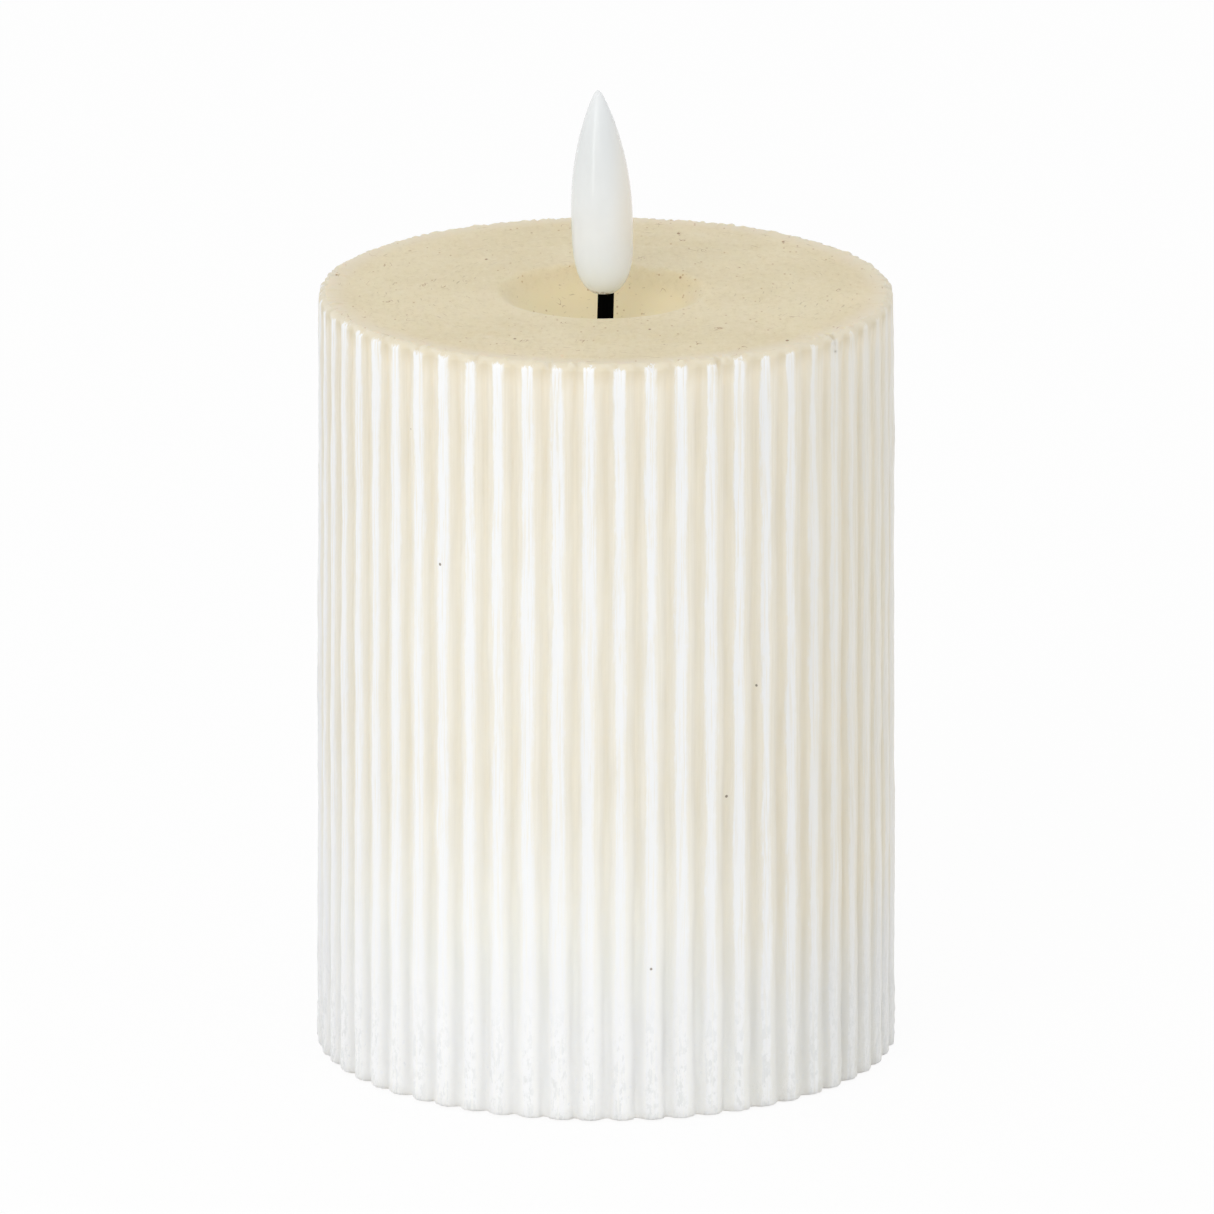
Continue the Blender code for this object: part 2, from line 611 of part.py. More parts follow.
def least_gap(points, diameter, skip):
    """The least clear space between turns, measured between points that aren't neighbours."""
    gaps = []
    for i, point in enumerate(points):
        for other in points[i + skip:]:
            gaps.append((point - other).length - diameter)
    return min(gaps)


def make_spring(name, end, middle_y):
    """A conical coil from its plate to its cell, with straight ends."""
    count = SPRING_TURNS * SPRING_STEPS
    start = PLATE_X - SEAT
    coil_length = SPRING_LENGTH - 2 * SPRING_WIRE
    points = []
    for i in range(count + 1):
        share = i / count
        angle = 2 * pi * i / SPRING_STEPS
        radius = SPRING_FOOT + (SPRING_TIP - SPRING_FOOT) * share
        along = start - SPRING_WIRE - coil_length * share
        points.append(Vector((end * along, middle_y + radius * cos(angle), CELL_Z + radius * sin(angle))))
    straight = Vector((end * SPRING_WIRE, 0, 0))
    points = [points[0] + straight] + points + [points[-1] - straight]
    wire(name, points, SPRING_WIRE, material("spring_steel", *NICKEL), 1)
    gap = least_gap(points, SPRING_WIRE, SPRING_STEPS // 2)
    print(name, "least gap between turns, mm:", round(1000 * gap, 3))


def make_contacts():
    make_plate("bridge_plate", -1, 0, 2 * CELL_Y + PLATE_WIDTH, False)
    make_plate("positive_plate", 1, CELL_Y, PLATE_WIDTH, True)
    make_plate("negative_plate", 1, -CELL_Y, PLATE_WIDTH, True)
    make_spring("bridge_spring", -1, CELL_Y)
    make_spring("negative_spring", 1, -CELL_Y)


def terminal_places():
    for i in range(TERMINAL_COUNT):
        yield (i - (TERMINAL_COUNT - 1) / 2) * TERMINAL_SPACING, BOARD_Y


def make_board():
    outline = rectangle(BOARD_LENGTH / 2, BOARD_WIDTH / 2, 2 * EMBED, (0, BOARD_Y))
    finish = material("board_green", (0.02, 0.16, 0.06), 0.35)
    board = add("circuit_board", slab("circuit_board", outline, BOARD_LOW, BOARD_TOP), finish)
    for name, side in (("board_screw_left", -1), ("board_screw_right", 1)):
        place = (side * BOSS_SPACING / 2, BOARD_Y, 0)
        hole = rod("board_hole", SCREW_SHANK / 2 + SEAT, BOARD_LOW - PAST, BOARD_TOP + PAST)
        hole.transform(Matrix.Translation(place))
        cut(board, "board_hole", hole)
        make_screw(name, place)
    for number, (x, y) in enumerate(terminal_places(), 1):
        radius = TERMINAL_DIAMETER / 2
        for target in (board, bpy.data.objects["switch_wafer"]):
            hole = rod("terminal_hole", radius + SEAT, WAFER_LOW - PAST, BOARD_TOP + PAST)
            hole.transform(Matrix.Translation((x, y, 0)))
            cut(target, "terminal_hole", hole)
        pin = rod("switch_terminal_%d" % number, radius, WAFER_LOW, BOARD_TOP + PAST)
        terminal = add("switch_terminal_%d" % number, pin, material("tinned_wire", *NICKEL))
        terminal.location = (x, y, 0)
    make_components()


def make_screw(name, place):
    """A pan-head screw with a cross recess."""
    low = BOARD_TOP + SEAT
    shank = SCREW_SHANK / 2
    head = SCREW_HEAD / 2
    tip = low - SCREW_LENGTH + 2 * SEAT
    brim = low + SCREW_HEAD_HEIGHT / 2
    crown = low + SCREW_HEAD_HEIGHT
    profile = [(0, tip), (shank, tip + shank), (shank, low), (head, low), (head, brim)]
    profile += [(SCREW_CROWN / 2, crown), (0, crown)]
    screw = add(name, turned(name, profile, SMALL_SEGMENTS), material("screw_steel", *NICKEL))
    screw.location = place
    long, narrow = CROSS_SLOT
    for across in ((long / 2, narrow / 2), (narrow / 2, long / 2)):
        slot = slab("cross_slot", rectangle(*across), brim, crown + PAST)
        slot.transform(Matrix.Translation(place))
        cut(screw, "cross_slot", slot)


# Parts on the board: sizes, and places beside the middle of the board
CHIP_BODY = (0.0025, 0.0015, 0.0015)  # half length, half width, height
CHIP_PLACE = (-0.0045, 0.0026)
CHIP_LEG = 0.0003
CRYSTAL_PLACE = (0.0015, 0.0036)
CRYSTAL_RADIUS = 0.0010
CRYSTAL_LENGTH = 0.0062
CAPACITOR_PLACE = (0.0066, -0.0010)
CAPACITOR_RADIUS = 0.0016
CAPACITOR_HEIGHT = 0.0050
RESISTOR_SIZE = (0.0010, 0.0006, 0.0006)  # half length, half width, height
RESISTOR_PLACES = ((-0.0090, 0.0036), (-0.0090, -0.0036))


def make_components():
    seat = BOARD_TOP + SEAT / 3
    half_x, half_y, height = CHIP_BODY
    middle = (CHIP_PLACE[0], BOARD_Y + CHIP_PLACE[1])
    lift = seat + SEAT / 2
    chip_mesh = slab("controller_chip", rectangle(half_x, half_y, 0, middle), lift, seat + height)
    chip = add("controller_chip", chip_mesh, material("chip_epoxy", (0.02, 0.02, 0.022), 0.5))
    for i in range(4):
        x = middle[0] + (i - 1.5) * half_x / 2
        leg_y = (middle[1] - half_y - 2 * SEAT, middle[1] + half_y + 2 * SEAT)
        leg_x = (x - CHIP_LEG / 2, x + CHIP_LEG / 2)
        fuse(chip, "chip_leg", box("chip_leg", leg_x, leg_y, (seat, seat + height / 2)))

    mesh = rod("timer_crystal", CRYSTAL_RADIUS, 0, CRYSTAL_LENGTH)
    crystal = add("timer_crystal", mesh, material("crystal_can", *NICKEL))
    crystal.rotation_euler = (0, pi / 2, 0)
    crystal.location = (CRYSTAL_PLACE[0], BOARD_Y + CRYSTAL_PLACE[1], seat + CRYSTAL_RADIUS)

    radius = CAPACITOR_RADIUS
    neck = CAPACITOR_HEIGHT / 6
    profile = [(0, 0), (radius, 0), (radius, neck), (0.85 * radius, 1.5 * neck), (radius, 2 * neck)]
    top = CAPACITOR_HEIGHT
    profile += [(radius, top - neck / 4), (radius - neck / 4, top), (0, top)]
    finish = material("capacitor_sleeve", (0.03, 0.05, 0.12), 0.35)
    capacitor = add("capacitor", turned("capacitor", profile, SMALL_SEGMENTS), finish)
    capacitor.location = (CAPACITOR_PLACE[0], BOARD_Y + CAPACITOR_PLACE[1], seat)

    for number, (x, y) in enumerate(RESISTOR_PLACES, 1):
        name = "resistor_%d" % number
        mesh = slab(name, rectangle(RESISTOR_SIZE[0], RESISTOR_SIZE[1]), 0, RESISTOR_SIZE[2])
        resistor = add(name, mesh, material("chip_epoxy", (0.02, 0.02, 0.022), 0.5))
        resistor.location = (x, BOARD_Y + y, seat)


def make_switch():
    middle = (0, BOARD_Y)
    can_mesh = slab("switch_can", rectangle(CAN_X, CAN_Y, 0, middle), CAN_LOW, CAN_TOP)
    can = add("switch_can", can_mesh, material("switch_metal", *NICKEL))
    inside = rectangle(CAN_INNER_X, CAN_INNER_Y, 0, middle)
    cut(can, "can_inside", slab("can_inside", inside, CAN_LOW + CAN_WALL, CAN_TOP + PAST))
    window = rectangle(WINDOW_X, WINDOW_Y, 0, middle)
    cut(can, "can_window", slab("can_window", window, CAN_LOW - PAST, CAN_TOP))
    finish = material("wafer_brown", (0.22, 0.10, 0.04), 0.6)
    wafer = rectangle(CAN_X, CAN_Y, 0, middle)
    add("switch_wafer", slab("switch_wafer", wafer, WAFER_LOW, WAFER_TOP), finish)

    carriage_low = CAN_LOW + CAN_WALL + SEAT
    carriage = rectangle(CARRIAGE_LENGTH / 2, CARRIAGE_WIDTH / 2, 0, middle)
    mesh = slab("switch_slider", carriage, carriage_low, carriage_low + CARRIAGE_HEIGHT)
    slider = add("switch_slider", mesh, material("slider_plastic", *BLACK_PLASTIC))
    set_origin(slider, Vector((0, BOARD_Y, 0)))
    nub = rectangle(NUB_LENGTH / 2, NUB_WIDTH / 2, NUB_WIDTH / 6, middle)
    fuse(slider, "slider_nub", slab("slider_nub", nub, NUB_LIFT, carriage_low + EMBED))
    groove_pitch = NUB_LENGTH / (NUB_GROOVES + 1)
    for i in range(NUB_GROOVES):
        x = -NUB_LENGTH / 2 + groove_pitch * (i + 1)
        groove_x = (x - groove_pitch / 4, x + groove_pitch / 4)
        groove_y = (BOARD_Y - NUB_WIDTH, BOARD_Y + NUB_WIDTH)
        groove_z = (NUB_LIFT - PAST, NUB_LIFT + GROOVE_DEPTH)
        cut(slider, "nub_groove", box("nub_groove", groove_x, groove_y, groove_z))


# Pads of the wires beside the board's middle, and the routes between a wire's ends, chosen by hand
LED_PAD = (0.0028, -0.0035)
BATTERY_PADS = {1: (0.0100, -0.0035), -1: (0.0125, -0.0025)}
LED_WIRE_RISE = 0.0120
LED_WIRE_CLIMB = ((0.0026, -0.0200, 0.0360), (0.0021, -0.0100, 0.0540))
LED_WIRE_ENTRY = (0.0, -0.0008, -0.0080)
BATTERY_WIRE_RISE = 0.0060
TRAY_CROSSING = {
    1: ((0.0262, 0.0064, 0.0245), (0.0215, 0.0000, 0.0258),
        (0.0165, -0.0090, 0.0250), (0.0120, -0.0180, 0.0225)),
    -1: ((0.0270, -0.0088, 0.0245), (0.0240, -0.0135, 0.0250), (0.0185, -0.0195, 0.0215)),
}


def make_wires(wick_line):
    red = material("wire_red", (0.50, 0.02, 0.02), 0.45)
    black = material("wire_black", (0.015, 0.015, 0.015), 0.45)
    spacing = 3 * WIRE_DIAMETER
    pad_z = BOARD_TOP + SEAT
    for name, side, finish in (("led_wire_red", 1, red), ("led_wire_black", -1, black)):
        pad = Vector((side * LED_PAD[0], BOARD_Y + LED_PAD[1], pad_z))
        end = splice_end(side, wick_line)
        climb = [Vector((side * x, y, z)) for x, y, z in LED_WIRE_CLIMB]
        route = [pad, pad + Vector((0, 0, LED_WIRE_RISE)), *climb, end + Vector(LED_WIRE_ENTRY), end]
        wire(name, smooth_route(route, spacing), WIRE_DIAMETER, finish)
    for name, side, finish in (("battery_wire_red", 1, red), ("battery_wire_black", -1, black)):
        start = Vector((PLATE_X + PLATE_THICKNESS / 2, side * CELL_Y, TAB_TOP + SEAT))
        pad = Vector((BATTERY_PADS[side][0], BOARD_Y + BATTERY_PADS[side][1], pad_z))
        route = [start, *TRAY_CROSSING[side], pad + Vector((0, 0, BATTERY_WIRE_RISE)), pad]
        wire(name, smooth_route(route, spacing), WIRE_DIAMETER, finish)


def make_wick_line():
    """The line that the wick stands on, with its origin in the plane of the flat top."""
    line = bpy.data.objects.new("wick_line", None)
    bpy.context.scene.collection.objects.link(line)
    line.location = (0, 0, WAX_TOP)
    line.rotation_euler = (0, WICK_LEAN, 0)
    bpy.context.view_layer.update()
    return line


def main():
    clear_scene()
    wick_line = make_wick_line()
    make_wax_shell(wick_line)
    make_flame(wick_line)
    make_wick(wick_line)
    make_splices(wick_line)
    make_base()
    make_door()
    make_cell("battery_left", 1)
    make_cell("battery_right", -1)
    make_contacts()
    make_switch()
    make_board()
    make_wires(wick_line)


main()
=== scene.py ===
# Looks of the flameless LED pillar candle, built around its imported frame.
# Metres, +Z up, the candle stands on z = 0 with its front towards -Y.

from math import asin, cos, pi, radians, sin, sqrt, tan

import bmesh
import bpy
import numpy as np
from mathutils import Matrix, Vector


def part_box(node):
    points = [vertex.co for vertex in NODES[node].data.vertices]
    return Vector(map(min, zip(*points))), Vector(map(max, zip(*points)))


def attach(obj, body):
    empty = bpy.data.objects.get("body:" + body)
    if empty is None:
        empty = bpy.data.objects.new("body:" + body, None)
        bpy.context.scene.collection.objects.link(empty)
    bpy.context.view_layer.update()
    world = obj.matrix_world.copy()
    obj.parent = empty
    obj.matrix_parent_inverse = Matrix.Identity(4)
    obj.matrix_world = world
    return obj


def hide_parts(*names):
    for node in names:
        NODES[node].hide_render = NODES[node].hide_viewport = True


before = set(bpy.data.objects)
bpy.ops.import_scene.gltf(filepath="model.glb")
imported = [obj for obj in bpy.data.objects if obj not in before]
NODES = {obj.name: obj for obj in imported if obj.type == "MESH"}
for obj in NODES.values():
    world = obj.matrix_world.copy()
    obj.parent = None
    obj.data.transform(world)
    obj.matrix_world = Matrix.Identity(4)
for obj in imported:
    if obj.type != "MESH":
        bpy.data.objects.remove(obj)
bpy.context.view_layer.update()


def srgb(red, green, blue):
    """A colour as it looks on a screen, in 0 to 255, as linear light."""
    linear = []
    for value in (red, green, blue):
        share = value / 255
        linear.append(share / 12.92 if share <= 0.04045 else ((share + 0.055) / 1.055) ** 2.4)
    return (*linear, 1.0)


# Camera, fitted to the outline of the pillar
IMAGE_SIZE = 1214
FOCAL_PIXELS = 20122.0
SENSOR_WIDTH = 36.0
CAMERA_DISTANCE = 2.6
CAMERA_ELEVATION = radians(16.16)
CAMERA_PITCH = radians(16.0)
CAMERA_SIDE = 0.00012
CAMERA_REACH = 50
AIM_HEIGHT = 0.0505

# Ribs of the wax
RIB_COUNT = 58
RIB_COLUMNS = 16              # mesh columns across a rib
RIB_DEPTH = 0.0010            # at the foot
TOP_RIB_DEPTH = 0.0006
RIB_SHARE = 0.82              # width of a rib, in rib pitches
LOBE_POWER = 1.9
FOOT_SOFTENING = 0.025        # in rib pitches
MOULD_DRAFT = 0.0005
FOOT_ROUND = 0.0004

# Small faults of the wall: sizes of waves, their rates over the height and their turns per rib
RIB_WANDER = ((0.020, 190, 1), (0.012, 530, 3))
DEPTH_WAVE = (0.06, 260, 2)
DEPTH_SPREAD = 0.05           # from rib to rib
WALL_WAVE = 0.00004
WALL_ROUGHNESS = 0.000015
FOOT_ROUGHNESS = 0.00004      # added at the foot
ROUGH_HEIGHT = 0.016          # how far up it reaches
FAULT_ROOM = 0.00003          # keeps the faults near the solid's size

# Rim, where the ribs fade into the flat top
RIM_ROUND = 0.0010
RIM_RIBS = 0.30               # what is left of the ribs on the inner edge of the round
RIM_SHARE = 0.4               # the rib depth fades to this share over the last few millimetres
RIM_FADE = 0.0030
RIM_VALLEY = 0.35             # height of the round in a valley, as a share of that on a crest
RIM_WAVE = 0.00016
CHIP_SIZE = 0.00065
CHIP_FROM = 1.1               # waves above this size are chips
CHIP_MOST = 1.2
BURR_SIZE = 0.00018           # crumbs that stand up along the edge of the top
BURR_FROM = 0.7
BURR_MOST = 2.0
BURR_POWER = 40               # how close to the edge they stay
LACQUER_START = 0.3           # share of the round that stays bare
TOP_DIP = 0.00006             # shallow dents in the top
DENT_RATE = 25
WALL_START = 0.0020           # first plain ring of the wall, below the top

# Well and inside of the wax
WELL_RADIUS = 0.0127
WELL_DEPTH = 0.0060
WELL_EDGE = 0.0015
WELL_OFFSET = (-0.0006, -0.0005)
WELL_WAVE = 0.00006
LIP_DROP = 0.3                # how far the bowl's edge drops under the top, in edge widths
LIP_POWER = 10                # how sharply it drops there
HOLE_BLEND = 3                # the rings leave the wick hole's centre over one third of the bowl
WELL_LIP = ((0.25, 0.16), (0.5, 0.06), (0.75, 0.015), (1.0, 0.0))  # out and down, in edge widths
SHOULDER_STEP = 0.0021
CAP_THICKNESS = 0.0100
SEAT = 0.0003

# Rings of the wax mesh
WELL_RINGS = 24
TOP_RINGS = 26
RIM_RINGS = 7
WALL_RINGS = 120
FOOT_RINGS = 5
PEARL, BARE = 0, 1            # the two finishes of the wax

# Wick and flame
WICK_LEAN = radians(1.5)
WICK_RADIUS = 0.00105
WICK_HOLE = WICK_RADIUS + SEAT
FLAME_LEAN = radians(-1.8)
FLAME_RADIUS = 0.00395
FLAME_LENGTH = 0.0276
FLAME_BELLY = 0.0105
FLAME_DROP = 0.0007
FOOT_POWER = 3.75
TAPER_POWER = 0.88
FLAME_OFFSET = -0.0002
FLAME_BORE = 0.0070
BORE_MOUTH = 0.0006
FLAME_START = 0.0005          # height of the flame's lowest ring
FLAME_BLUNT = 0.0004          # the worn tip
FLAME_COLUMNS = 56
FLAME_RINGS = 60
CLOSED_END = 0.00001          # radius of a ring that closes an end

# Floor, world and lamps
FLOOR_RADIUS = 6.0
FLOOR_HIDDEN = 0.0008         # how far the floor reaches under the wax
FLOOR_GAP = 0.00002
FLOOR_COLUMNS = 64
FLOOR_TONE = (0.92, 0.92, 0.92, 1)
FLOOR_GLOW = 0.92             # share of plain white where the floor is seen
WORLD_LEVEL = 0.86            # as light on the object
WORLD_SEEN = 1.0
LAMP_AIM = (0, 0, 0.06)

# Sizes taken from the frame
WAX_LOW, WAX_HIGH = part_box("wax_shell")
BASE_LOW, BASE_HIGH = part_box("base_housing")
FOOT_RADIUS = WAX_HIGH.x
WAX_TOP = WAX_HIGH.z
WAX_FOOT = WAX_LOW.z
REBATE_RADIUS = BASE_HIGH.x + SEAT
SHOULDER = BASE_HIGH.z + SEAT

# White strips, the crests' lacquer with a painted highlight on it: places across a rib are in rib pitches
# from the strip's middle
# Painted highlight: the strips drift across the ribs and have a crisp left and a soft right edge, as a
# highlight from the front left would
STRIP_OFFSET = -0.06          # from the crest, at the front
STRIP_DRIFT = -0.10           # how far it drifts towards the sides
STRIP_LEFT = (-0.23, -0.13)   # where the lacquer begins
STRIP_RIGHT = (0.27, 0.11)    # where it ends
STRIP_TOP = (WAX_TOP - 0.0001, WAX_TOP - 0.0005)
STRIP_END_SPREAD = 0.0004     # from rib to rib
TORN_REACH = 0.012            # how far the torn ends go up and down
LOW_WIDENING = 0.02
# Painted shade: how much narrower the strips are on the right side
RIGHT_SHADE_NARROWING = 0.05

# Where the wall's tone changes: the wax pales downwards, and the right side is painted in shade, greyer,
# with narrower and fainter strips and paling only lower down
MIDDLE_HEIGHTS = (0.092, 0.062)
LOW_HEIGHTS = (0.044, 0.010)
RIGHT_LOW_HEIGHTS = (0.028, 0.008)
MIDDLE_SHARE = 0.22           # how much of the change is done at the middle
RIGHT_PLACES = (0.004, 0.034)
FAR_RIGHT_PLACES = (0.018, 0.036)
RIM_HEIGHTS = (WAX_TOP - 0.0040, WAX_TOP)
# Where the painted light in the valleys fades out under the rim
VALLEY_LIGHT_HEIGHTS = (WAX_TOP - 0.0006, WAX_TOP - 0.0030)
WEAR_HEIGHT = 0.020           # the mottled foot
RIGHT_WEAR = 0.006            # how much higher it reaches to the right
WEAR_FULL = 0.003
RIM_TONE = srgb(221, 211, 188)  # where the bare top meets the fluted wall


# Node materials

class Finish:
    """A node material under construction, with short ways to add and join nodes."""

    def __init__(self, name):
        self.material = bpy.data.materials.new(name)
        self.material.use_nodes = True
        self.tree = self.material.node_tree
        self.shader = self.tree.nodes["Principled BSDF"]
        self.place = self.add("ShaderNodeTexCoord").outputs["Object"]

    def add(self, kind, **settings):
        node = self.tree.nodes.new(kind)
        for name, value in settings.items():
            setattr(node, name, value)
        return node

    def join(self, source, target):
        self.tree.links.new(source, target)

    def feed(self, socket, value):
        """Join a socket to another one, or set its number or colour."""
        if value is None:
            return
        if isinstance(value, bpy.types.NodeSocket):
            self.join(value, socket)
        else:
            socket.default_value = value

    def set(self, **values):
        """Numbers and colours that are the same all over the surface."""
        for name, value in values.items():
            self.shader.inputs[name.replace("_", " ")].default_value = value

    def math(self, operation, first, second=None):
        node = self.add("ShaderNodeMath", operation=operation)
        for socket, value in zip(node.inputs, (first, second)):
            self.feed(socket, value)
        return node.outputs[0]

    def plus(self, first, second):
        return self.math("ADD", first, second)

    def minus(self, first, second):
        return self.math("SUBTRACT", first, second)

    def times(self, first, second):
        return self.math("MULTIPLY", first, second)

    def without(self, value, share):
        """The value with a share of it taken away."""
        return self.times(value, self.minus(1.0, share))

    def vector(self, operation, first, second=None):
        node = self.add("ShaderNodeVectorMath", operation=operation)
        for socket, value in zip(node.inputs, (first, second)):
            self.feed(socket, value)
        return node.outputs[0]

    def axes(self):
        """The place on the object as x, y and z."""
        node = self.add("ShaderNodeSeparateXYZ")
        self.join(self.place, node.inputs[0])
        return node.outputs

    def stretched(self, scale):
        node = self.add("ShaderNodeMapping")
        node.inputs["Scale"].default_value = scale
        self.join(self.place, node.inputs["Vector"])
        return node.outputs[0]

    def noise(self, scale, detail=3.0, roughness=0.5, stretch=(1, 1, 1)):
        node = self.add("ShaderNodeTexNoise")
        node.inputs["Scale"].default_value = scale
        node.inputs["Detail"].default_value = detail
        node.inputs["Roughness"].default_value = roughness
        self.join(self.stretched(stretch), node.inputs["Vector"])
        return node.outputs["Fac"]

    def cells(self, scale, randomness=1.0, stretch=(1, 1, 1), feature="F1"):
        node = self.add("ShaderNodeTexVoronoi", feature=feature)
        node.inputs["Scale"].default_value = scale
        node.inputs["Randomness"].default_value = randomness
        self.join(self.stretched(stretch), node.inputs["Vector"])
        return node

    def spread(self, value, width):
        """A noise value moved to lie about zero and scaled."""
        return self.times(self.minus(value, 0.5), width)

    def ramp(self, value, low, high, smooth=True):
        """0 below low, 1 above high; low may lie above high."""
        node = self.add("ShaderNodeMapRange")
        node.interpolation_type = "SMOOTHSTEP" if smooth else "LINEAR"
        self.feed(node.inputs["Value"], value)
        self.feed(node.inputs["From Min"], low)
        self.feed(node.inputs["From Max"], high)
        return node.outputs[0]

    def reach(self, x, y):
        """Distance from the axis."""
        return self.math("SQRT", self.plus(self.times(x, x), self.times(y, y)))

    def arcs(self, x, y, fineness, pieces):
        """Short thin arcs round the candle's axis: 1 inside an arc."""
        place = self.add("ShaderNodeCombineXYZ")
        self.join(self.times(self.reach(x, y), fineness), place.inputs[0])
        self.join(self.times(self.math("ARCTAN2", y, x), pieces), place.inputs[1])
        node = self.add("ShaderNodeTexNoise")
        node.inputs["Scale"].default_value = 1.0
        self.join(place.outputs[0], node.inputs["Vector"])
        return self.ramp(node.outputs["Fac"], 0.66, 0.74)

    def specks(self, scale, share, size, stretch=(1, 1, 1)):
        """Scattered small specks in a share of the noise's cells: 1 inside a speck."""
        spots = self.cells(scale, stretch=stretch)
        chosen = self.add("ShaderNodeSeparateColor")
        self.join(spots.outputs["Color"], chosen.inputs[0])
        picked = self.ramp(chosen.outputs[0], 1 - share, 1 - share + 0.001)
        inside = self.ramp(spots.outputs["Distance"], size, size * 0.5)
        return self.times(picked, inside)

    def hairs(self, scale, share, length, stretch):
        """Short thin curved marks: 1 on a mark."""
        bend = self.math("ABSOLUTE", self.spread(self.noise(scale, 1, 0.5, stretch), 1.0))
        line = self.ramp(bend, 0.016, 0.006)
        return self.times(line, self.specks(scale * 0.5, share, length, stretch))

    def attribute(self, name):
        return self.add("ShaderNodeAttribute", attribute_name=name).outputs["Fac"]

    def mix(self, share, first, second):
        """A colour between two."""
        node = self.add("ShaderNodeMix", data_type="RGBA")
        self.feed(node.inputs["Factor"], share)
        for socket, value in zip((node.inputs[6], node.inputs[7]), (first, second)):
            self.feed(socket, value)
        return node.outputs[2]

    def tint(self, tone, mask, strength, colour):
        """A tone with a colour laid over it where the mask is 1."""
        return self.mix(self.times(mask, strength), tone, colour)

    def soft_normal(self, share, upward):
        """The surface's direction turned towards out from the candle's axis, and up by upward."""
        out = self.vector("NORMALIZE", self.vector("MULTIPLY", self.place, (1, 1, 0)))
        rise = self.add("ShaderNodeCombineXYZ")
        self.feed(rise.inputs[2], upward)
        smooth = self.vector("NORMALIZE", self.vector("ADD", out, rise.outputs[0]))
        blend = self.add("ShaderNodeMix", data_type="VECTOR")
        self.feed(blend.inputs["Factor"], share)
        self.join(self.add("ShaderNodeNewGeometry").outputs["Normal"], blend.inputs[4])
        self.join(smooth, blend.inputs[5])
        return blend.outputs[1]

    def bump(self, value, distance, strength, normal=None):
        node = self.add("ShaderNodeBump")
        self.feed(node.inputs["Normal"], normal)
        node.inputs["Distance"].default_value = distance
        node.inputs["Strength"].default_value = strength
        self.feed(node.inputs["Height"], value)
        self.join(node.outputs[0], self.shader.inputs["Normal"])

    def colour(self, value):
        self.feed(self.shader.inputs["Base Color"], value)

    def rough(self, base, value, change):
        """Roughness that goes away from a base by a change where the value is 1."""
        self.feed(self.shader.inputs["Roughness"], self.plus(self.times(value, change), base))


# Wax

def bare_wax():
    """The cut top and the well: matte ivory wax with pits, dust, hairs and short scratches, the well
    painted lighter to cancel the shade in it.
    """
    made = Finish("bare_wax")
    x, y, z = made.axes()
    flat = (1, 0.5, 1)        # marks are longer from front to back
    cloud = made.noise(60, 4, 0.6)
    fine = made.noise(900, 3, 0.6)
    grain = made.noise(1500, 4, 0.75, flat)
    tone = made.mix(made.ramp(cloud, 0.35, 0.65), srgb(217, 203, 167), srgb(223, 210, 176))
    tone = made.tint(tone, made.ramp(grain, 0.50, 0.30), 0.35, srgb(196, 178, 138))
    tone = made.tint(tone, made.ramp(grain, 0.52, 0.72), 0.35, srgb(232, 222, 196))
    rim = made.ramp(made.reach(x, y), FOOT_RADIUS - 0.0050, FOOT_RADIUS - 0.0012)
    tone = made.mix(rim, tone, RIM_TONE)
    # Painted light: the well is painted lighter, to cancel the shade in it
    deep = made.ramp(z, WAX_TOP - 0.0002, WAX_TOP - 0.0030)
    tone = made.mix(deep, tone, srgb(232, 218, 179))
    scratches = made.arcs(x, y, fineness=2600, pieces=9)
    hairs = made.hairs(800, share=0.36, length=0.36, stretch=(1, 0.6, 1))
    dust = made.specks(1300, share=0.14, size=0.24, stretch=flat)
    pits = made.specks(520, share=0.11, size=0.15, stretch=flat)
    tone = made.tint(tone, scratches, 0.50, srgb(162, 138, 96))
    tone = made.tint(tone, hairs, 0.65, srgb(150, 102, 48))
    tone = made.tint(tone, dust, 0.50, srgb(168, 124, 64))
    tone = made.tint(tone, pits, 0.80, srgb(128, 78, 26))
    made.colour(tone)
    made.rough(0.4, fine, 0.2)
    made.set(Subsurface_Weight=0.7, Subsurface_Scale=0.004, Specular_IOR_Level=0.3)
    made.set(Subsurface_Radius=(1.0, 0.75, 0.45))
    marks = made.plus(made.times(scratches, 0.4), pits)
    made.bump(made.minus(made.times(fine, 0.4), marks), distance=0.00008, strength=0.6)
    return made.material


def lacquer_and_highlight_strips(made, height, x, low, thin):
    """Where the white strips lie, 0 to 1, lacquer with a painted highlight on it, and the raggedness of
    their edges.
    """
    turn = made.math("ARCTAN2", made.attribute("strip_sine"), made.attribute("strip_cosine"))
    across = made.math("DIVIDE", turn, 2 * pi)
    streak = made.spread(made.noise(900, 3, 0.6, (1, 1, 0.05)), 0.20)
    torn = made.spread(made.noise(2200, 4, 0.7, (1, 1, 0.3)), 0.16)
    broad = made.spread(made.noise(230, 2, 0.5, (1, 1, 0.25)), 0.24)
    ragged = made.plus(streak, torn)
    left = made.plus(across, made.plus(ragged, broad))
    right = made.plus(across, made.minus(ragged, broad))
    # Painted shade: the strips are narrower on the right side
    wide = made.minus(made.times(low, LOW_WIDENING), made.times(thin, RIGHT_SHADE_NARROWING))
    begins = made.ramp(made.plus(left, wide), *STRIP_LEFT)
    ends = made.ramp(made.minus(right, wide), *STRIP_RIGHT)
    white = made.times(begins, ends)
    edge = made.plus(height, made.times(torn, TORN_REACH))
    edge = made.plus(edge, made.attribute("strip_end"))
    white = made.times(white, made.ramp(edge, *STRIP_TOP))
    worn = made.ramp(made.noise(3000, 3, 0.7, (1, 1, 0.03)), 0.47, 0.66)
    white = made.without(white, made.times(worn, 0.6))
    # Painted shade: the strips fade on the far right side, less so at the foot
    faint = made.times(made.ramp(x, *FAR_RIGHT_PLACES), 0.65)
    faint = made.without(faint, made.times(low, 0.5))
    return made.without(white, faint), ragged


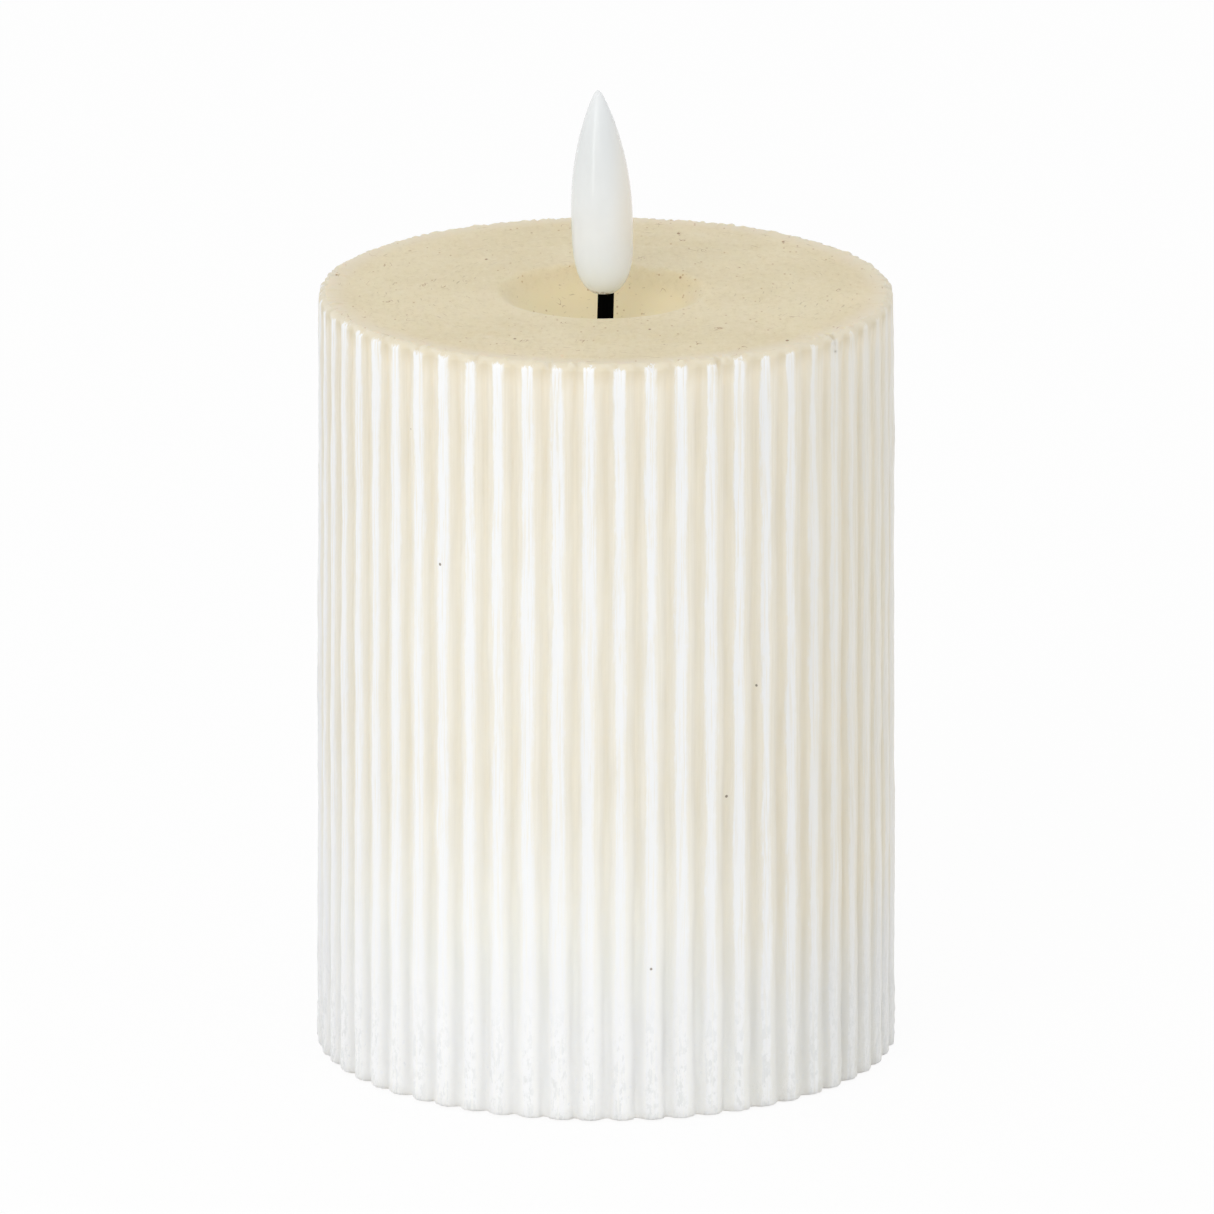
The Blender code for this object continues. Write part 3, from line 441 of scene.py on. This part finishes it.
def wall_ground(made, height, low, thin):
    """Tone of the wax between the strips, with painted light in the valleys that cancels the shade in
    them, and painted shade on the right side.
    """
    # thin marks the right side, where shade is painted: the wax pales only lower down there and its foot
    # is greyer
    steep = made.ramp(height, *RIGHT_LOW_HEIGHTS)
    pale = made.plus(low, made.times(thin, made.minus(steep, low)))
    lines = made.noise(3200, 2, 0.6, (1, 1, 0.015))
    upper_tone = made.mix(made.ramp(lines, 0.35, 0.65), srgb(231, 225, 209), srgb(237, 231, 216))
    foot_tone = made.mix(thin, srgb(250, 250, 245), srgb(230, 229, 223))
    ground = made.mix(pale, upper_tone, foot_tone)
    ground = made.mix(made.ramp(height, *RIM_HEIGHTS), ground, RIM_TONE)
    # Painted light in the valleys, cancelling their shade: more at the foot and on the right, none at the
    # rim
    foot_valley_light_tone = made.mix(thin, srgb(248, 248, 244), srgb(243, 242, 237))
    valley_light_tone = made.mix(pale, srgb(246, 239, 223), foot_valley_light_tone)
    valley_light_share = made.plus(0.36, made.times(low, 0.4))
    valley_light_share = made.plus(valley_light_share, made.times(made.without(thin, low), 0.35))
    valley_light_share = made.times(valley_light_share, made.ramp(height, *VALLEY_LIGHT_HEIGHTS))
    valley = made.ramp(made.attribute("valley"), 0.0, 0.55)
    return made.mix(made.times(valley, valley_light_share), ground, valley_light_tone)


def pearl_wax():
    """The fluted wall: ivory wax with a white pearl lacquer along the crests of the ribs under a painted
    highlight, painted light in the valleys and painted shade on the right side.
    """
    made = Finish("pearl_wax")
    x, _, height = made.axes()
    middle = made.times(made.ramp(height, *MIDDLE_HEIGHTS), MIDDLE_SHARE)
    low = made.times(made.ramp(height, *LOW_HEIGHTS, smooth=False), 1 - MIDDLE_SHARE)
    low = made.plus(middle, low)
    # thin marks the right side, away from the key lamp: there shade is painted, and the mottled foot
    # reaches higher
    thin = made.ramp(x, *RIGHT_PLACES)
    white, ragged = lacquer_and_highlight_strips(made, height, x, low, thin)
    ground = wall_ground(made, height, low, thin)

    # The mottled foot: flecks of lacquer between the strips, and dull places on them
    foot = made.ramp(height, made.plus(WEAR_HEIGHT, made.times(thin, RIGHT_WEAR)), WEAR_FULL)
    flecks = made.times(foot, made.ramp(made.noise(1500, 4, 0.7, (1, 1, 0.6)), 0.58, 0.70))
    white = made.math("MAXIMUM", white, made.times(flecks, 0.8))
    dull = made.times(foot, made.ramp(made.noise(1300, 4, 0.7, (1, 1, 0.45)), 0.53, 0.42))
    dull = made.times(dull, white)

    # The strips' white: the lacquer together with a painted highlight
    tone = made.mix(white, ground, made.mix(low, srgb(240, 241, 241), srgb(247, 248, 248)))
    tone = made.tint(tone, dull, 0.7, srgb(224, 226, 225))
    tone = made.tint(tone, made.specks(520, share=0.010, size=0.13), 0.8, srgb(110, 92, 70))
    made.colour(tone)
    made.rough(0.5, white, -0.2)
    made.set(Subsurface_Weight=0.8, Subsurface_Scale=0.004, Specular_IOR_Level=0.3)
    made.set(Subsurface_Radius=(1.0, 0.97, 0.92))
    upward = made.ramp(height, WAX_TOP - RIM_ROUND, WAX_TOP, smooth=False)
    grain = made.times(made.spread(made.noise(1600, 4, 0.7), 0.6), foot)
    normal = made.soft_normal(0.92, upward)
    made.bump(made.plus(ragged, grain), distance=0.00030, strength=0.5, normal=normal)
    return made.material


# Flame, base and electric parts

def flame_white():
    """Milky plastic with traces of glue under its foot, creamier to the right as a painted reflection of
    the wax and bluer low down to cancel the warm light from the wax.
    """
    made = Finish("flame_milk")
    x, _, height = made.axes()
    cloud = made.noise(250, 3)
    tip = made.ramp(height, WAX_TOP + 0.008, WAX_TOP + 0.022)
    right = made.ramp(x, 0.0, FLAME_RADIUS)
    low = made.ramp(height, WAX_TOP + 0.010, WAX_TOP)
    foot = made.ramp(height, WAX_TOP + 0.0006, WAX_TOP - 0.0002)
    glue = made.times(foot, made.ramp(made.noise(1100, 3, 0.7), 0.44, 0.56))
    tone = made.mix(made.ramp(cloud, 0.3, 0.7), srgb(231, 234, 236), srgb(234, 237, 239))
    tone = made.mix(tip, tone, srgb(221, 224, 225))
    # Painted reflection of the cream wax on the flame's right side
    tone = made.tint(tone, right, 0.8, srgb(238, 232, 220))
    # Painted bluer near the foot, to cancel the warm light that the wax throws on it
    tone = made.tint(tone, low, 0.8, srgb(238, 246, 255))
    tone = made.tint(tone, glue, 0.6, srgb(150, 112, 78))
    made.colour(tone)
    made.rough(0.14, cloud, 0.1)
    made.set(Subsurface_Weight=0.6, Subsurface_Scale=0.003, Specular_IOR_Level=0.5)
    made.set(Subsurface_Radius=(1.0, 1.0, 1.0))
    made.bump(made.noise(1200, 2), distance=0.00002, strength=0.3)
    return made.material


def plastic(name, dark, light, roughness, grain=2500, relief=0.00003, specular=0.5):
    """Moulded plastic with a fine texture and slight cloudiness."""
    made = Finish(name)
    cloud = made.noise(120, 3)
    fine = made.noise(grain, 2)
    made.colour(made.mix(cloud, dark, light))
    made.rough(roughness, fine, 0.15)
    made.set(Specular_IOR_Level=specular)
    made.bump(fine, relief, strength=0.6)
    return made.material


def metal(name, dark, light, roughness, stretch=(1, 1, 8)):
    """Plated metal with fine rolling marks."""
    made = Finish(name)
    marks = made.noise(1500, 3, 0.6, stretch)
    made.colour(made.mix(marks, dark, light))
    made.rough(roughness, marks, 0.2)
    made.set(Metallic=1.0)
    made.bump(marks, distance=0.00001, strength=0.4)
    return made.material


def cell_jacket(node, button_side):
    """A cell: plain two-colour film with a bare steel base and button."""
    low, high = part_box(node)
    middle = (low + high) / 2
    half_length = (high.x - low.x) / 2
    width = high.y - low.y
    made = Finish(node + "_film")
    x, y, z = made.axes()
    along = made.times(made.minus(x, middle.x), button_side / half_length)
    from_axis = made.reach(made.minus(y, middle.y), made.minus(z, middle.z))
    side = made.ramp(from_axis, width * 0.42, width * 0.44)
    film = made.mix(made.ramp(along, 0.50, 0.51), srgb(38, 40, 44), srgb(178, 122, 62))
    fine = made.noise(1800, 2)
    film = made.tint(film, fine, 0.15, srgb(70, 72, 76))
    made.colour(made.mix(side, srgb(176, 175, 170), film))
    made.join(made.minus(1.0, side), made.shader.inputs["Metallic"])
    made.rough(0.25, fine, 0.1)
    return made.material


def board_green():
    """Solder mask with faint copper tracks under it."""
    made = Finish("board_mask")
    tracks = made.cells(700, randomness=0.0, feature="DISTANCE_TO_EDGE")
    line = made.ramp(tracks.outputs["Distance"], 0.10, 0.06)
    cloud = made.noise(400, 2)
    ground = made.mix(cloud, srgb(16, 78, 44), srgb(22, 92, 52))
    made.colour(made.tint(ground, line, 0.6, srgb(44, 122, 74)))
    made.rough(0.3, cloud, 0.1)
    made.bump(line, distance=0.00003, strength=0.5)
    return made.material


def dress_nodes():
    """Finishes of the nodes that keep their own shape."""
    black = plastic("base_black", srgb(24, 24, 25), srgb(33, 33, 35), 0.42)
    shiny = plastic("slider_black", srgb(20, 20, 21), srgb(28, 28, 30), 0.3, grain=1800)
    ivory = plastic("bushing_ivory", srgb(214, 208, 192), srgb(224, 219, 204), 0.4)
    epoxy = plastic("chip_black", srgb(26, 26, 28), srgb(34, 34, 36), 0.5)
    brown = plastic("wafer_brown", srgb(104, 64, 34), srgb(124, 80, 44), 0.5, grain=1200)
    red = plastic("insulation_red", srgb(160, 22, 20), srgb(178, 30, 26), 0.4)
    dark = plastic("insulation_black", srgb(20, 20, 20), srgb(30, 30, 30), 0.4)
    blue = plastic("capacitor_blue", srgb(28, 40, 84), srgb(38, 52, 100), 0.3)
    clear = plastic("led_resin", srgb(232, 226, 200), srgb(240, 236, 216), 0.12)
    sleeve = plastic("wick_black", srgb(1, 1, 1), srgb(4, 4, 4), 0.9,
                     grain=3000, relief=0.00006, specular=0.02)
    nickel = metal("nickel_plate", srgb(186, 184, 178), srgb(208, 206, 200), 0.18)
    steel = metal("spring_nickel", srgb(170, 168, 162), srgb(204, 202, 196), 0.2, (8, 1, 1))
    zinc = metal("screw_zinc", srgb(168, 170, 172), srgb(196, 198, 200), 0.25, (1, 1, 1))
    finishes = {
        "base_housing": black, "battery_door": black, "switch_slider": shiny, "wick_bushing": ivory,
        "wick_sleeve": sleeve, "controller_chip": epoxy, "resistor_1": epoxy, "resistor_2": epoxy,
        "switch_wafer": brown, "capacitor": blue, "led": clear, "switch_can": zinc, "timer_crystal": zinc,
        "splice_red": red, "led_wire_red": red, "battery_wire_red": red,
        "splice_black": dark, "led_wire_black": dark, "battery_wire_black": dark,
        "bridge_plate": nickel, "positive_plate": nickel, "negative_plate": nickel,
        "bridge_spring": steel, "negative_spring": steel,
        "board_screw_left": zinc, "board_screw_right": zinc, "circuit_board": board_green(),
        "led_lead_anode": nickel, "led_lead_cathode": nickel,
        "battery_left": cell_jacket("battery_left", 1), "battery_right": cell_jacket("battery_right", -1),
    }
    for number in range(1, 5):
        finishes["switch_terminal_%d" % number] = nickel
    for name, finish in finishes.items():
        mesh = NODES[name].data
        mesh.materials.clear()
        mesh.materials.append(finish)


# Meshes

def unit_circle(columns):
    """Points round the axis, as (columns, 3)."""
    angle = np.arange(columns) * 2 * pi / columns
    return np.stack([np.cos(angle), np.sin(angle), np.zeros(columns)], axis=-1)


def grid_mesh(name, rings, wrap_rings):
    """A mesh through rings of equal length, given as (rows, columns, 3), closed round each ring."""
    rows, columns = rings.shape[:2]
    index = np.arange(rows * columns).reshape(rows, columns)
    low = index if wrap_rings else index[:-1]
    high = np.roll(index, -1, axis=0) if wrap_rings else index[1:]
    corners = [low, np.roll(low, -1, axis=1), np.roll(high, -1, axis=1), high]
    faces = np.stack(corners, axis=-1).reshape(-1, 4)
    mesh = bpy.data.meshes.new(name)
    mesh.vertices.add(rows * columns)
    mesh.vertices.foreach_set("co", rings.reshape(-1).astype(np.float32))
    mesh.loops.add(faces.size)
    mesh.loops.foreach_set("vertex_index", faces.reshape(-1).astype(np.int32))
    mesh.polygons.add(len(faces))
    mesh.polygons.foreach_set("loop_start", np.arange(0, faces.size, 4, dtype=np.int32))
    mesh.update(calc_edges=True)
    mesh.validate()
    mesh.shade_smooth()
    return mesh


def cap_ends(mesh, rows, columns):
    """Close the first and last rings of a grid mesh."""
    bm = bmesh.new()
    bm.from_mesh(mesh)
    bm.verts.ensure_lookup_table()
    for first in (0, (rows - 1) * columns):
        bm.faces.new([bm.verts[first + i] for i in range(columns)])
    bmesh.ops.recalc_face_normals(bm, faces=bm.faces[:])
    for face in bm.faces:
        face.smooth = True
    bm.to_mesh(mesh)
    bm.free()


def add_piece(name, mesh, body, slot, node, *finishes):
    """Put a piece in the scene in place of a node."""
    piece = bpy.data.objects.new(name, mesh)
    bpy.context.scene.collection.objects.link(piece)
    for finish in finishes:
        mesh.materials.append(finish)
    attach(piece, body)
    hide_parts(node)
    return piece


def ripple(angle, height, waves, turns, rise, seed):
    """Smooth seamless noise of about unit size: waves with whole turns round the candle."""
    draw = np.random.default_rng(seed)
    total = np.zeros(np.broadcast(angle, height).shape)
    for _ in range(waves):
        lobes = draw.integers(1, turns + 1)
        slope = draw.normal(0, rise)
        total = total + np.sin(lobes * angle + slope * height + draw.uniform(0, 2 * pi))
    return total / sqrt(waves / 2)


def lobe(phase):
    """Height of a rib, 0 to 1, at a place across its pitch from -0.5 to 0.5."""
    across = np.clip(np.abs(phase) / (RIB_SHARE / 2), 0, 1)
    return (1 - across ** LOBE_POWER) ** (1 / LOBE_POWER)


def wrap(phase):
    """A place across a rib brought back to -0.5 to 0.5."""
    return (phase + 0.5) % 1.0 - 0.5


def soft_lobe(phase):
    """The rib with its sharp feet softened."""
    shifts = (-FOOT_SOFTENING, 0, FOOT_SOFTENING)
    return sum(lobe(wrap(phase + shift)) for shift in shifts) / len(shifts)


def rim_share(depth_below):
    """What the fade under the rim leaves of the rib depth."""
    return RIM_SHARE + (1 - RIM_SHARE) * min(1, depth_below / RIM_FADE)


class WaxRings:
    """Rings of the wax from the wick hole over the top, down the wall and back up inside."""

    def __init__(self):
        self.columns = RIB_COUNT * RIB_COLUMNS
        turn = np.arange(self.columns) / RIB_COLUMNS
        self.angle = -pi / 2 + turn * 2 * pi / RIB_COUNT
        rib = np.floor(turn).astype(int)
        self.phase = turn - rib - 0.5
        self.lobes = soft_lobe(self.phase)
        draw = np.random.default_rng(7)
        self.rib_seed = draw.uniform(0, 2 * pi, RIB_COUNT)[rib]
        self.rib_deep = draw.normal(1.0, DEPTH_SPREAD, RIB_COUNT)[rib]
        self.strip_end = draw.uniform(0, STRIP_END_SPREAD, RIB_COUNT)[rib]
        self.rows = []
        self.kinds = []
        self.add_well()
        self.add_top()
        self.add_wall()
        self.add_inside()

    def put(self, radius, height, kind=BARE, shift=(0.0, 0.0)):
        """Add a ring; radius and height are numbers or differ round the candle."""
        radius = radius + np.zeros(self.columns)
        height = height + np.zeros(self.columns)
        x = radius * np.cos(self.angle) + shift[0]
        y = radius * np.sin(self.angle) + shift[1]
        self.rows.append(np.stack([x, y, height], axis=-1))
        self.kinds.append(kind)

    def wave(self, height, size, rate, turns):
        """A slow wave up each rib, different from rib to rib."""
        return size * np.sin(height * rate + turns * self.rib_seed)

    def wall_radius(self, height, inset=0.0):
        """Radius of the ribbed wall at a height, with its small faults."""
        wander = sum(self.wave(height, *wave) for wave in RIB_WANDER)
        depth = RIB_DEPTH + (TOP_RIB_DEPTH - RIB_DEPTH) * height / WAX_TOP
        depth = depth * rim_share(WAX_TOP - height)
        depth = depth * self.rib_deep * (1 + self.wave(height, *DEPTH_WAVE))
        low = max(0.0, 1 - (height - WAX_FOOT) / ROUGH_HEIGHT)
        uneven = WALL_WAVE * ripple(self.angle, height, waves=14, turns=40, rise=260, seed=3)
        roughness = WALL_ROUGHNESS + FOOT_ROUGHNESS * low
        rough = roughness * ripple(self.angle, height, waves=24, turns=300, rise=2600, seed=5)
        crest_radius = FOOT_RADIUS - MOULD_DRAFT * height / WAX_TOP - FAULT_ROOM
        groove = depth * (1 - soft_lobe(wrap(self.phase + wander)))
        return crest_radius - inset - groove + uneven + rough

    def add_well(self):
        """The bowl, from the wick hole to its rounded lip."""
        ball = (WELL_RADIUS ** 2 + WELL_DEPTH ** 2) / (2 * WELL_DEPTH)
        sweep = asin(WELL_RADIUS / ball)
        start = asin(WICK_HOLE / ball)
        edge = WELL_WAVE * ripple(self.angle, 0.0, waves=8, turns=9, rise=1, seed=11)
        for step in np.linspace(0, 1, WELL_RINGS):
            bend = start + (sweep - start) * step
            bowl = WAX_TOP - WELL_DEPTH + ball * (1 - cos(bend))
            height = bowl - LIP_DROP * WELL_EDGE * step ** LIP_POWER
            hole = Vector((-tan(WICK_LEAN) * (WAX_TOP - height), 0))
            shift = hole.lerp(Vector(WELL_OFFSET), min(1, HOLE_BLEND * step))
            self.put(ball * sin(bend) + edge * step, height, shift=shift)
        for out, down in WELL_LIP:
            radius = WELL_RADIUS + out * WELL_EDGE + edge
            self.put(radius, WAX_TOP - down * WELL_EDGE, shift=WELL_OFFSET)

    def add_top(self):
        """The flat top, out to the rounded and chipped rim."""
        chip = ripple(self.angle, 0.0, waves=40, turns=220, rise=1, seed=13) - CHIP_FROM
        chip = np.clip(chip, 0, CHIP_MOST)
        uneven = RIM_WAVE * ripple(self.angle, 0.0, waves=20, turns=260, rise=1, seed=17)
        uneven = uneven + CHIP_SIZE * chip
        burr = ripple(self.angle, 0.0, waves=30, turns=160, rise=1, seed=23) - BURR_FROM
        burr = BURR_SIZE * np.clip(burr, 0, BURR_MOST)
        left_out = (rim_share(RIM_ROUND) - RIM_RIBS) * TOP_RIB_DEPTH * (1 - self.lobes)
        rim_in = RIM_ROUND - left_out + uneven
        rim_down = RIM_ROUND * (RIM_VALLEY + (1 - RIM_VALLEY) * self.lobes) + uneven
        outer = self.wall_radius(WAX_TOP - RIM_ROUND) - rim_in
        inner = WELL_RADIUS + WELL_EDGE
        for step in np.linspace(0, 1, TOP_RINGS)[1:]:
            dents = np.abs(ripple(self.angle, step * DENT_RATE, waves=10, turns=14, rise=1.2, seed=19))
            dip = -TOP_DIP * dents * sin(pi * step)
            slide = Vector(WELL_OFFSET) * (1 - step)
            height = WAX_TOP + dip + burr * step ** BURR_POWER
            self.put(inner + (outer - inner) * step, height, shift=slide)
        for step in np.linspace(0, 1, RIM_RINGS)[1:]:
            bend = step * pi / 2
            kind = PEARL if step > LACQUER_START else BARE
            height = WAX_TOP + burr * (1 - step) - rim_down * (1 - cos(bend))
            self.put(outer + rim_in * sin(bend), height, kind)

    def add_wall(self):
        """The ribbed wall, from under the rim to the rounded foot."""
        foot = WAX_FOOT + FOOT_ROUND
        for height in np.linspace(WAX_TOP - WALL_START, foot, WALL_RINGS):
            self.put(self.wall_radius(height), height, PEARL)
        for step in np.linspace(0, 1, FOOT_RINGS)[1:]:
            bend = step * pi / 2
            kind = PEARL if step < 1 else BARE
            inset = FOOT_ROUND * (1 - cos(bend))
            height = WAX_FOOT + FOOT_ROUND * (1 - sin(bend))
            self.put(self.wall_radius(foot, inset), height, kind)

    def add_inside(self):
        """Rebate for the base, shoulder, hollow and roof."""
        roof = WAX_TOP - CAP_THICKNESS
        hollow = REBATE_RADIUS - SHOULDER_STEP
        self.put(REBATE_RADIUS, WAX_FOOT)
        self.put(REBATE_RADIUS, SHOULDER)
        self.put(hollow, SHOULDER)
        self.put(hollow, roof)
        self.put(WICK_HOLE, roof, shift=(-tan(WICK_LEAN) * CAP_THICKNESS, 0.0))

    def attributes(self):
        """Values round the candle that the lacquer strips and their painted highlight need."""
        # Painted highlight: the strips shift across the ribs with the side of the candle, as a highlight
        # from the front left does
        strip = 2 * pi * (self.phase - STRIP_OFFSET - STRIP_DRIFT * np.cos(self.angle))
        return {"strip_sine": np.sin(strip), "strip_cosine": np.cos(strip),
                "valley": 1 - self.lobes, "strip_end": self.strip_end}


def make_wax():
    """The wax with its flutes, in the pearl finish on the wall and bare elsewhere."""
    wax = WaxRings()
    rings = np.array(wax.rows)
    kinds = np.array(wax.kinds)[::-1]
    mesh = grid_mesh("wax_pillar", rings[::-1], True)
    for name, values in wax.attributes().items():
        layer = mesh.attributes.new(name, "FLOAT", "POINT")
        layer.data.foreach_set("value", np.tile(values, len(rings)).astype(np.float32))
    face_kind = np.minimum(kinds, np.roll(kinds, -1))
    mesh.polygons.foreach_set("material_index", np.repeat(face_kind, wax.columns).astype(np.int32))
    add_piece("wax_pillar", mesh, "candle", "ivory_wax", "wax_shell", pearl_wax(), bare_wax())


def flame_radius(height):
    """Radius of the flame at a height above its foot: a round belly under a long taper."""
    if height < FLAME_BELLY:
        below = 1 - height / FLAME_BELLY
        return FLAME_RADIUS * sqrt(1 - below ** FOOT_POWER)
    above = (height - FLAME_BELLY) / (FLAME_LENGTH - FLAME_BELLY)
    return FLAME_RADIUS * (1 - above ** 2) ** TAPER_POWER


def make_flame():
    """The flame with its bore for the wick and a worn tip."""
    circle = unit_circle(FLAME_COLUMNS)
    foot = Vector((FLAME_OFFSET, 0, WAX_TOP - FLAME_DROP))
    stand = Matrix.Translation(foot) @ Matrix.Rotation(FLAME_LEAN, 4, "Y")
    wick = Matrix.Translation((0, 0, WAX_TOP)) @ Matrix.Rotation(WICK_LEAN, 4, "Y")
    rows = []

    def put(placing, radius, height):
        ring = circle * radius + np.array((0, 0, height))
        turned = np.array(placing.to_3x3())
        rows.append(ring @ turned.T + np.array(placing.translation))

    put(wick, CLOSED_END, FLAME_BORE)
    for height in np.linspace(FLAME_BORE, BORE_MOUTH, 4):
        put(wick, WICK_HOLE, height)
    tip = FLAME_LENGTH - FLAME_BLUNT
    for step in np.linspace(0, 1, FLAME_RINGS):
        height = FLAME_START + (tip - FLAME_START) * (1 - cos(pi * step)) / 2
        rounding = sqrt(min(1.0, (tip - height) / FLAME_BLUNT))
        put(stand, max(flame_radius(height) * rounding, CLOSED_END), height)
    mesh = grid_mesh("flame_body", np.array(rows), False)
    cap_ends(mesh, len(rows), FLAME_COLUMNS)
    add_piece("flame_body", mesh, "candle", "flame_white", "flame_lens", flame_white())


# Stage

def seen_rays(tree):
    """1 on the rays that show the background: seen, mirrored or through clear pieces."""
    rays = tree.nodes.new("ShaderNodeLightPath")
    total = rays.outputs["Is Camera Ray"]
    for name in ("Is Glossy Ray", "Is Transmission Ray"):
        step = tree.nodes.new("ShaderNodeMath")
        step.operation = "MAXIMUM"
        tree.links.new(total, step.inputs[0])
        tree.links.new(rays.outputs[name], step.inputs[1])
        total = step.outputs[0]
    return total


def blend_shaders(tree, share, first, second):
    """A shader between two."""
    blend = tree.nodes.new("ShaderNodeMixShader")
    for socket, source in zip(blend.inputs, (share, first, second)):
        tree.links.new(source, socket)
    return blend.outputs[0]


def floor_white():
    """A pale paint that is seen as white, keeps the shadow and is clear from below."""
    made = bpy.data.materials.new("floor_white")
    made.use_nodes = True
    tree = made.node_tree
    tree.nodes.clear()
    paint = tree.nodes.new("ShaderNodeBsdfDiffuse")
    paint.inputs["Color"].default_value = FLOOR_TONE
    glow = tree.nodes.new("ShaderNodeEmission")
    share = tree.nodes.new("ShaderNodeMath")
    share.operation = "MULTIPLY"
    share.inputs[1].default_value = FLOOR_GLOW
    tree.links.new(seen_rays(tree), share.inputs[0])
    upper = blend_shaders(tree, share.outputs[0], paint.outputs[0], glow.outputs[0])
    below = tree.nodes.new("ShaderNodeNewGeometry").outputs["Backfacing"]
    clear = tree.nodes.new("ShaderNodeBsdfTransparent")
    sided = blend_shaders(tree, below, upper, clear.outputs[0])
    out = tree.nodes.new("ShaderNodeOutputMaterial")
    tree.links.new(sided, out.inputs[0])
    return made


def make_floor():
    """A floor that is open under the candle, so that the underside can be seen."""
    circle = unit_circle(FLOOR_COLUMNS)
    hole = FOOT_RADIUS - RIB_DEPTH - FLOOR_HIDDEN
    rings = np.stack([circle * FLOOR_RADIUS, circle * hole])
    mesh = grid_mesh("floor", rings, False)
    mesh.materials.append(floor_white())
    floor = bpy.data.objects.new("floor", mesh)
    bpy.context.scene.collection.objects.link(floor)
    floor.location.z = BASE_LOW.z - FLOOR_GAP


def make_world():
    """Even white light from all round."""
    world = bpy.data.worlds.new("studio")
    bpy.context.scene.world = world
    world.use_nodes = True
    tree = world.node_tree
    ground = tree.nodes["Background"]
    ground.inputs["Color"].default_value = (1.0, 1.0, 1.0, 1)
    level = tree.nodes.new("ShaderNodeMapRange")
    level.inputs["To Min"].default_value = WORLD_LEVEL
    level.inputs["To Max"].default_value = WORLD_SEEN
    tree.links.new(seen_rays(tree), level.inputs["Value"])
    tree.links.new(level.outputs[0], ground.inputs["Strength"])


def add_light(name, place, size, power):
    """A rectangular lamp that points at the middle of the candle."""
    light = bpy.data.lights.new(name, "AREA")
    light.shape = "RECTANGLE"
    light.size, light.size_y = size
    light.energy = power
    lamp = bpy.data.objects.new(name, light)
    bpy.context.scene.collection.objects.link(lamp)
    lamp.location = place
    lamp.rotation_euler = (Vector(LAMP_AIM) - Vector(place)).to_track_quat("-Z", "Y").to_euler()


def make_lights():
    """A large soft lamp from the front left, and a narrow one for the sheen on the flame."""
    add_light("key", place=(-0.50, -1.28, 0.85), size=(1.1, 1.1), power=4.5)
    add_light("strip", place=(-0.62, -1.03, 0.30), size=(0.14, 0.80), power=1.0)


def make_camera():
    """The camera at the photograph's viewing angle."""
    data = bpy.data.cameras.new("camera")
    data.sensor_width = SENSOR_WIDTH
    data.lens = SENSOR_WIDTH * FOCAL_PIXELS / IMAGE_SIZE
    data.clip_end = CAMERA_REACH
    camera = bpy.data.objects.new("camera", data)
    bpy.context.scene.collection.objects.link(camera)
    back = CAMERA_DISTANCE * cos(CAMERA_ELEVATION)
    rise = CAMERA_DISTANCE * sin(CAMERA_ELEVATION)
    camera.location = (CAMERA_SIDE, -back, AIM_HEIGHT + rise)
    camera.rotation_euler = (pi / 2 - CAMERA_PITCH, 0, 0)
    bpy.context.scene.camera = camera


make_camera()
make_wax()
make_flame()
dress_nodes()
make_floor()
make_world()
make_lights()
bpy.context.scene.view_settings.view_transform = "Standard"
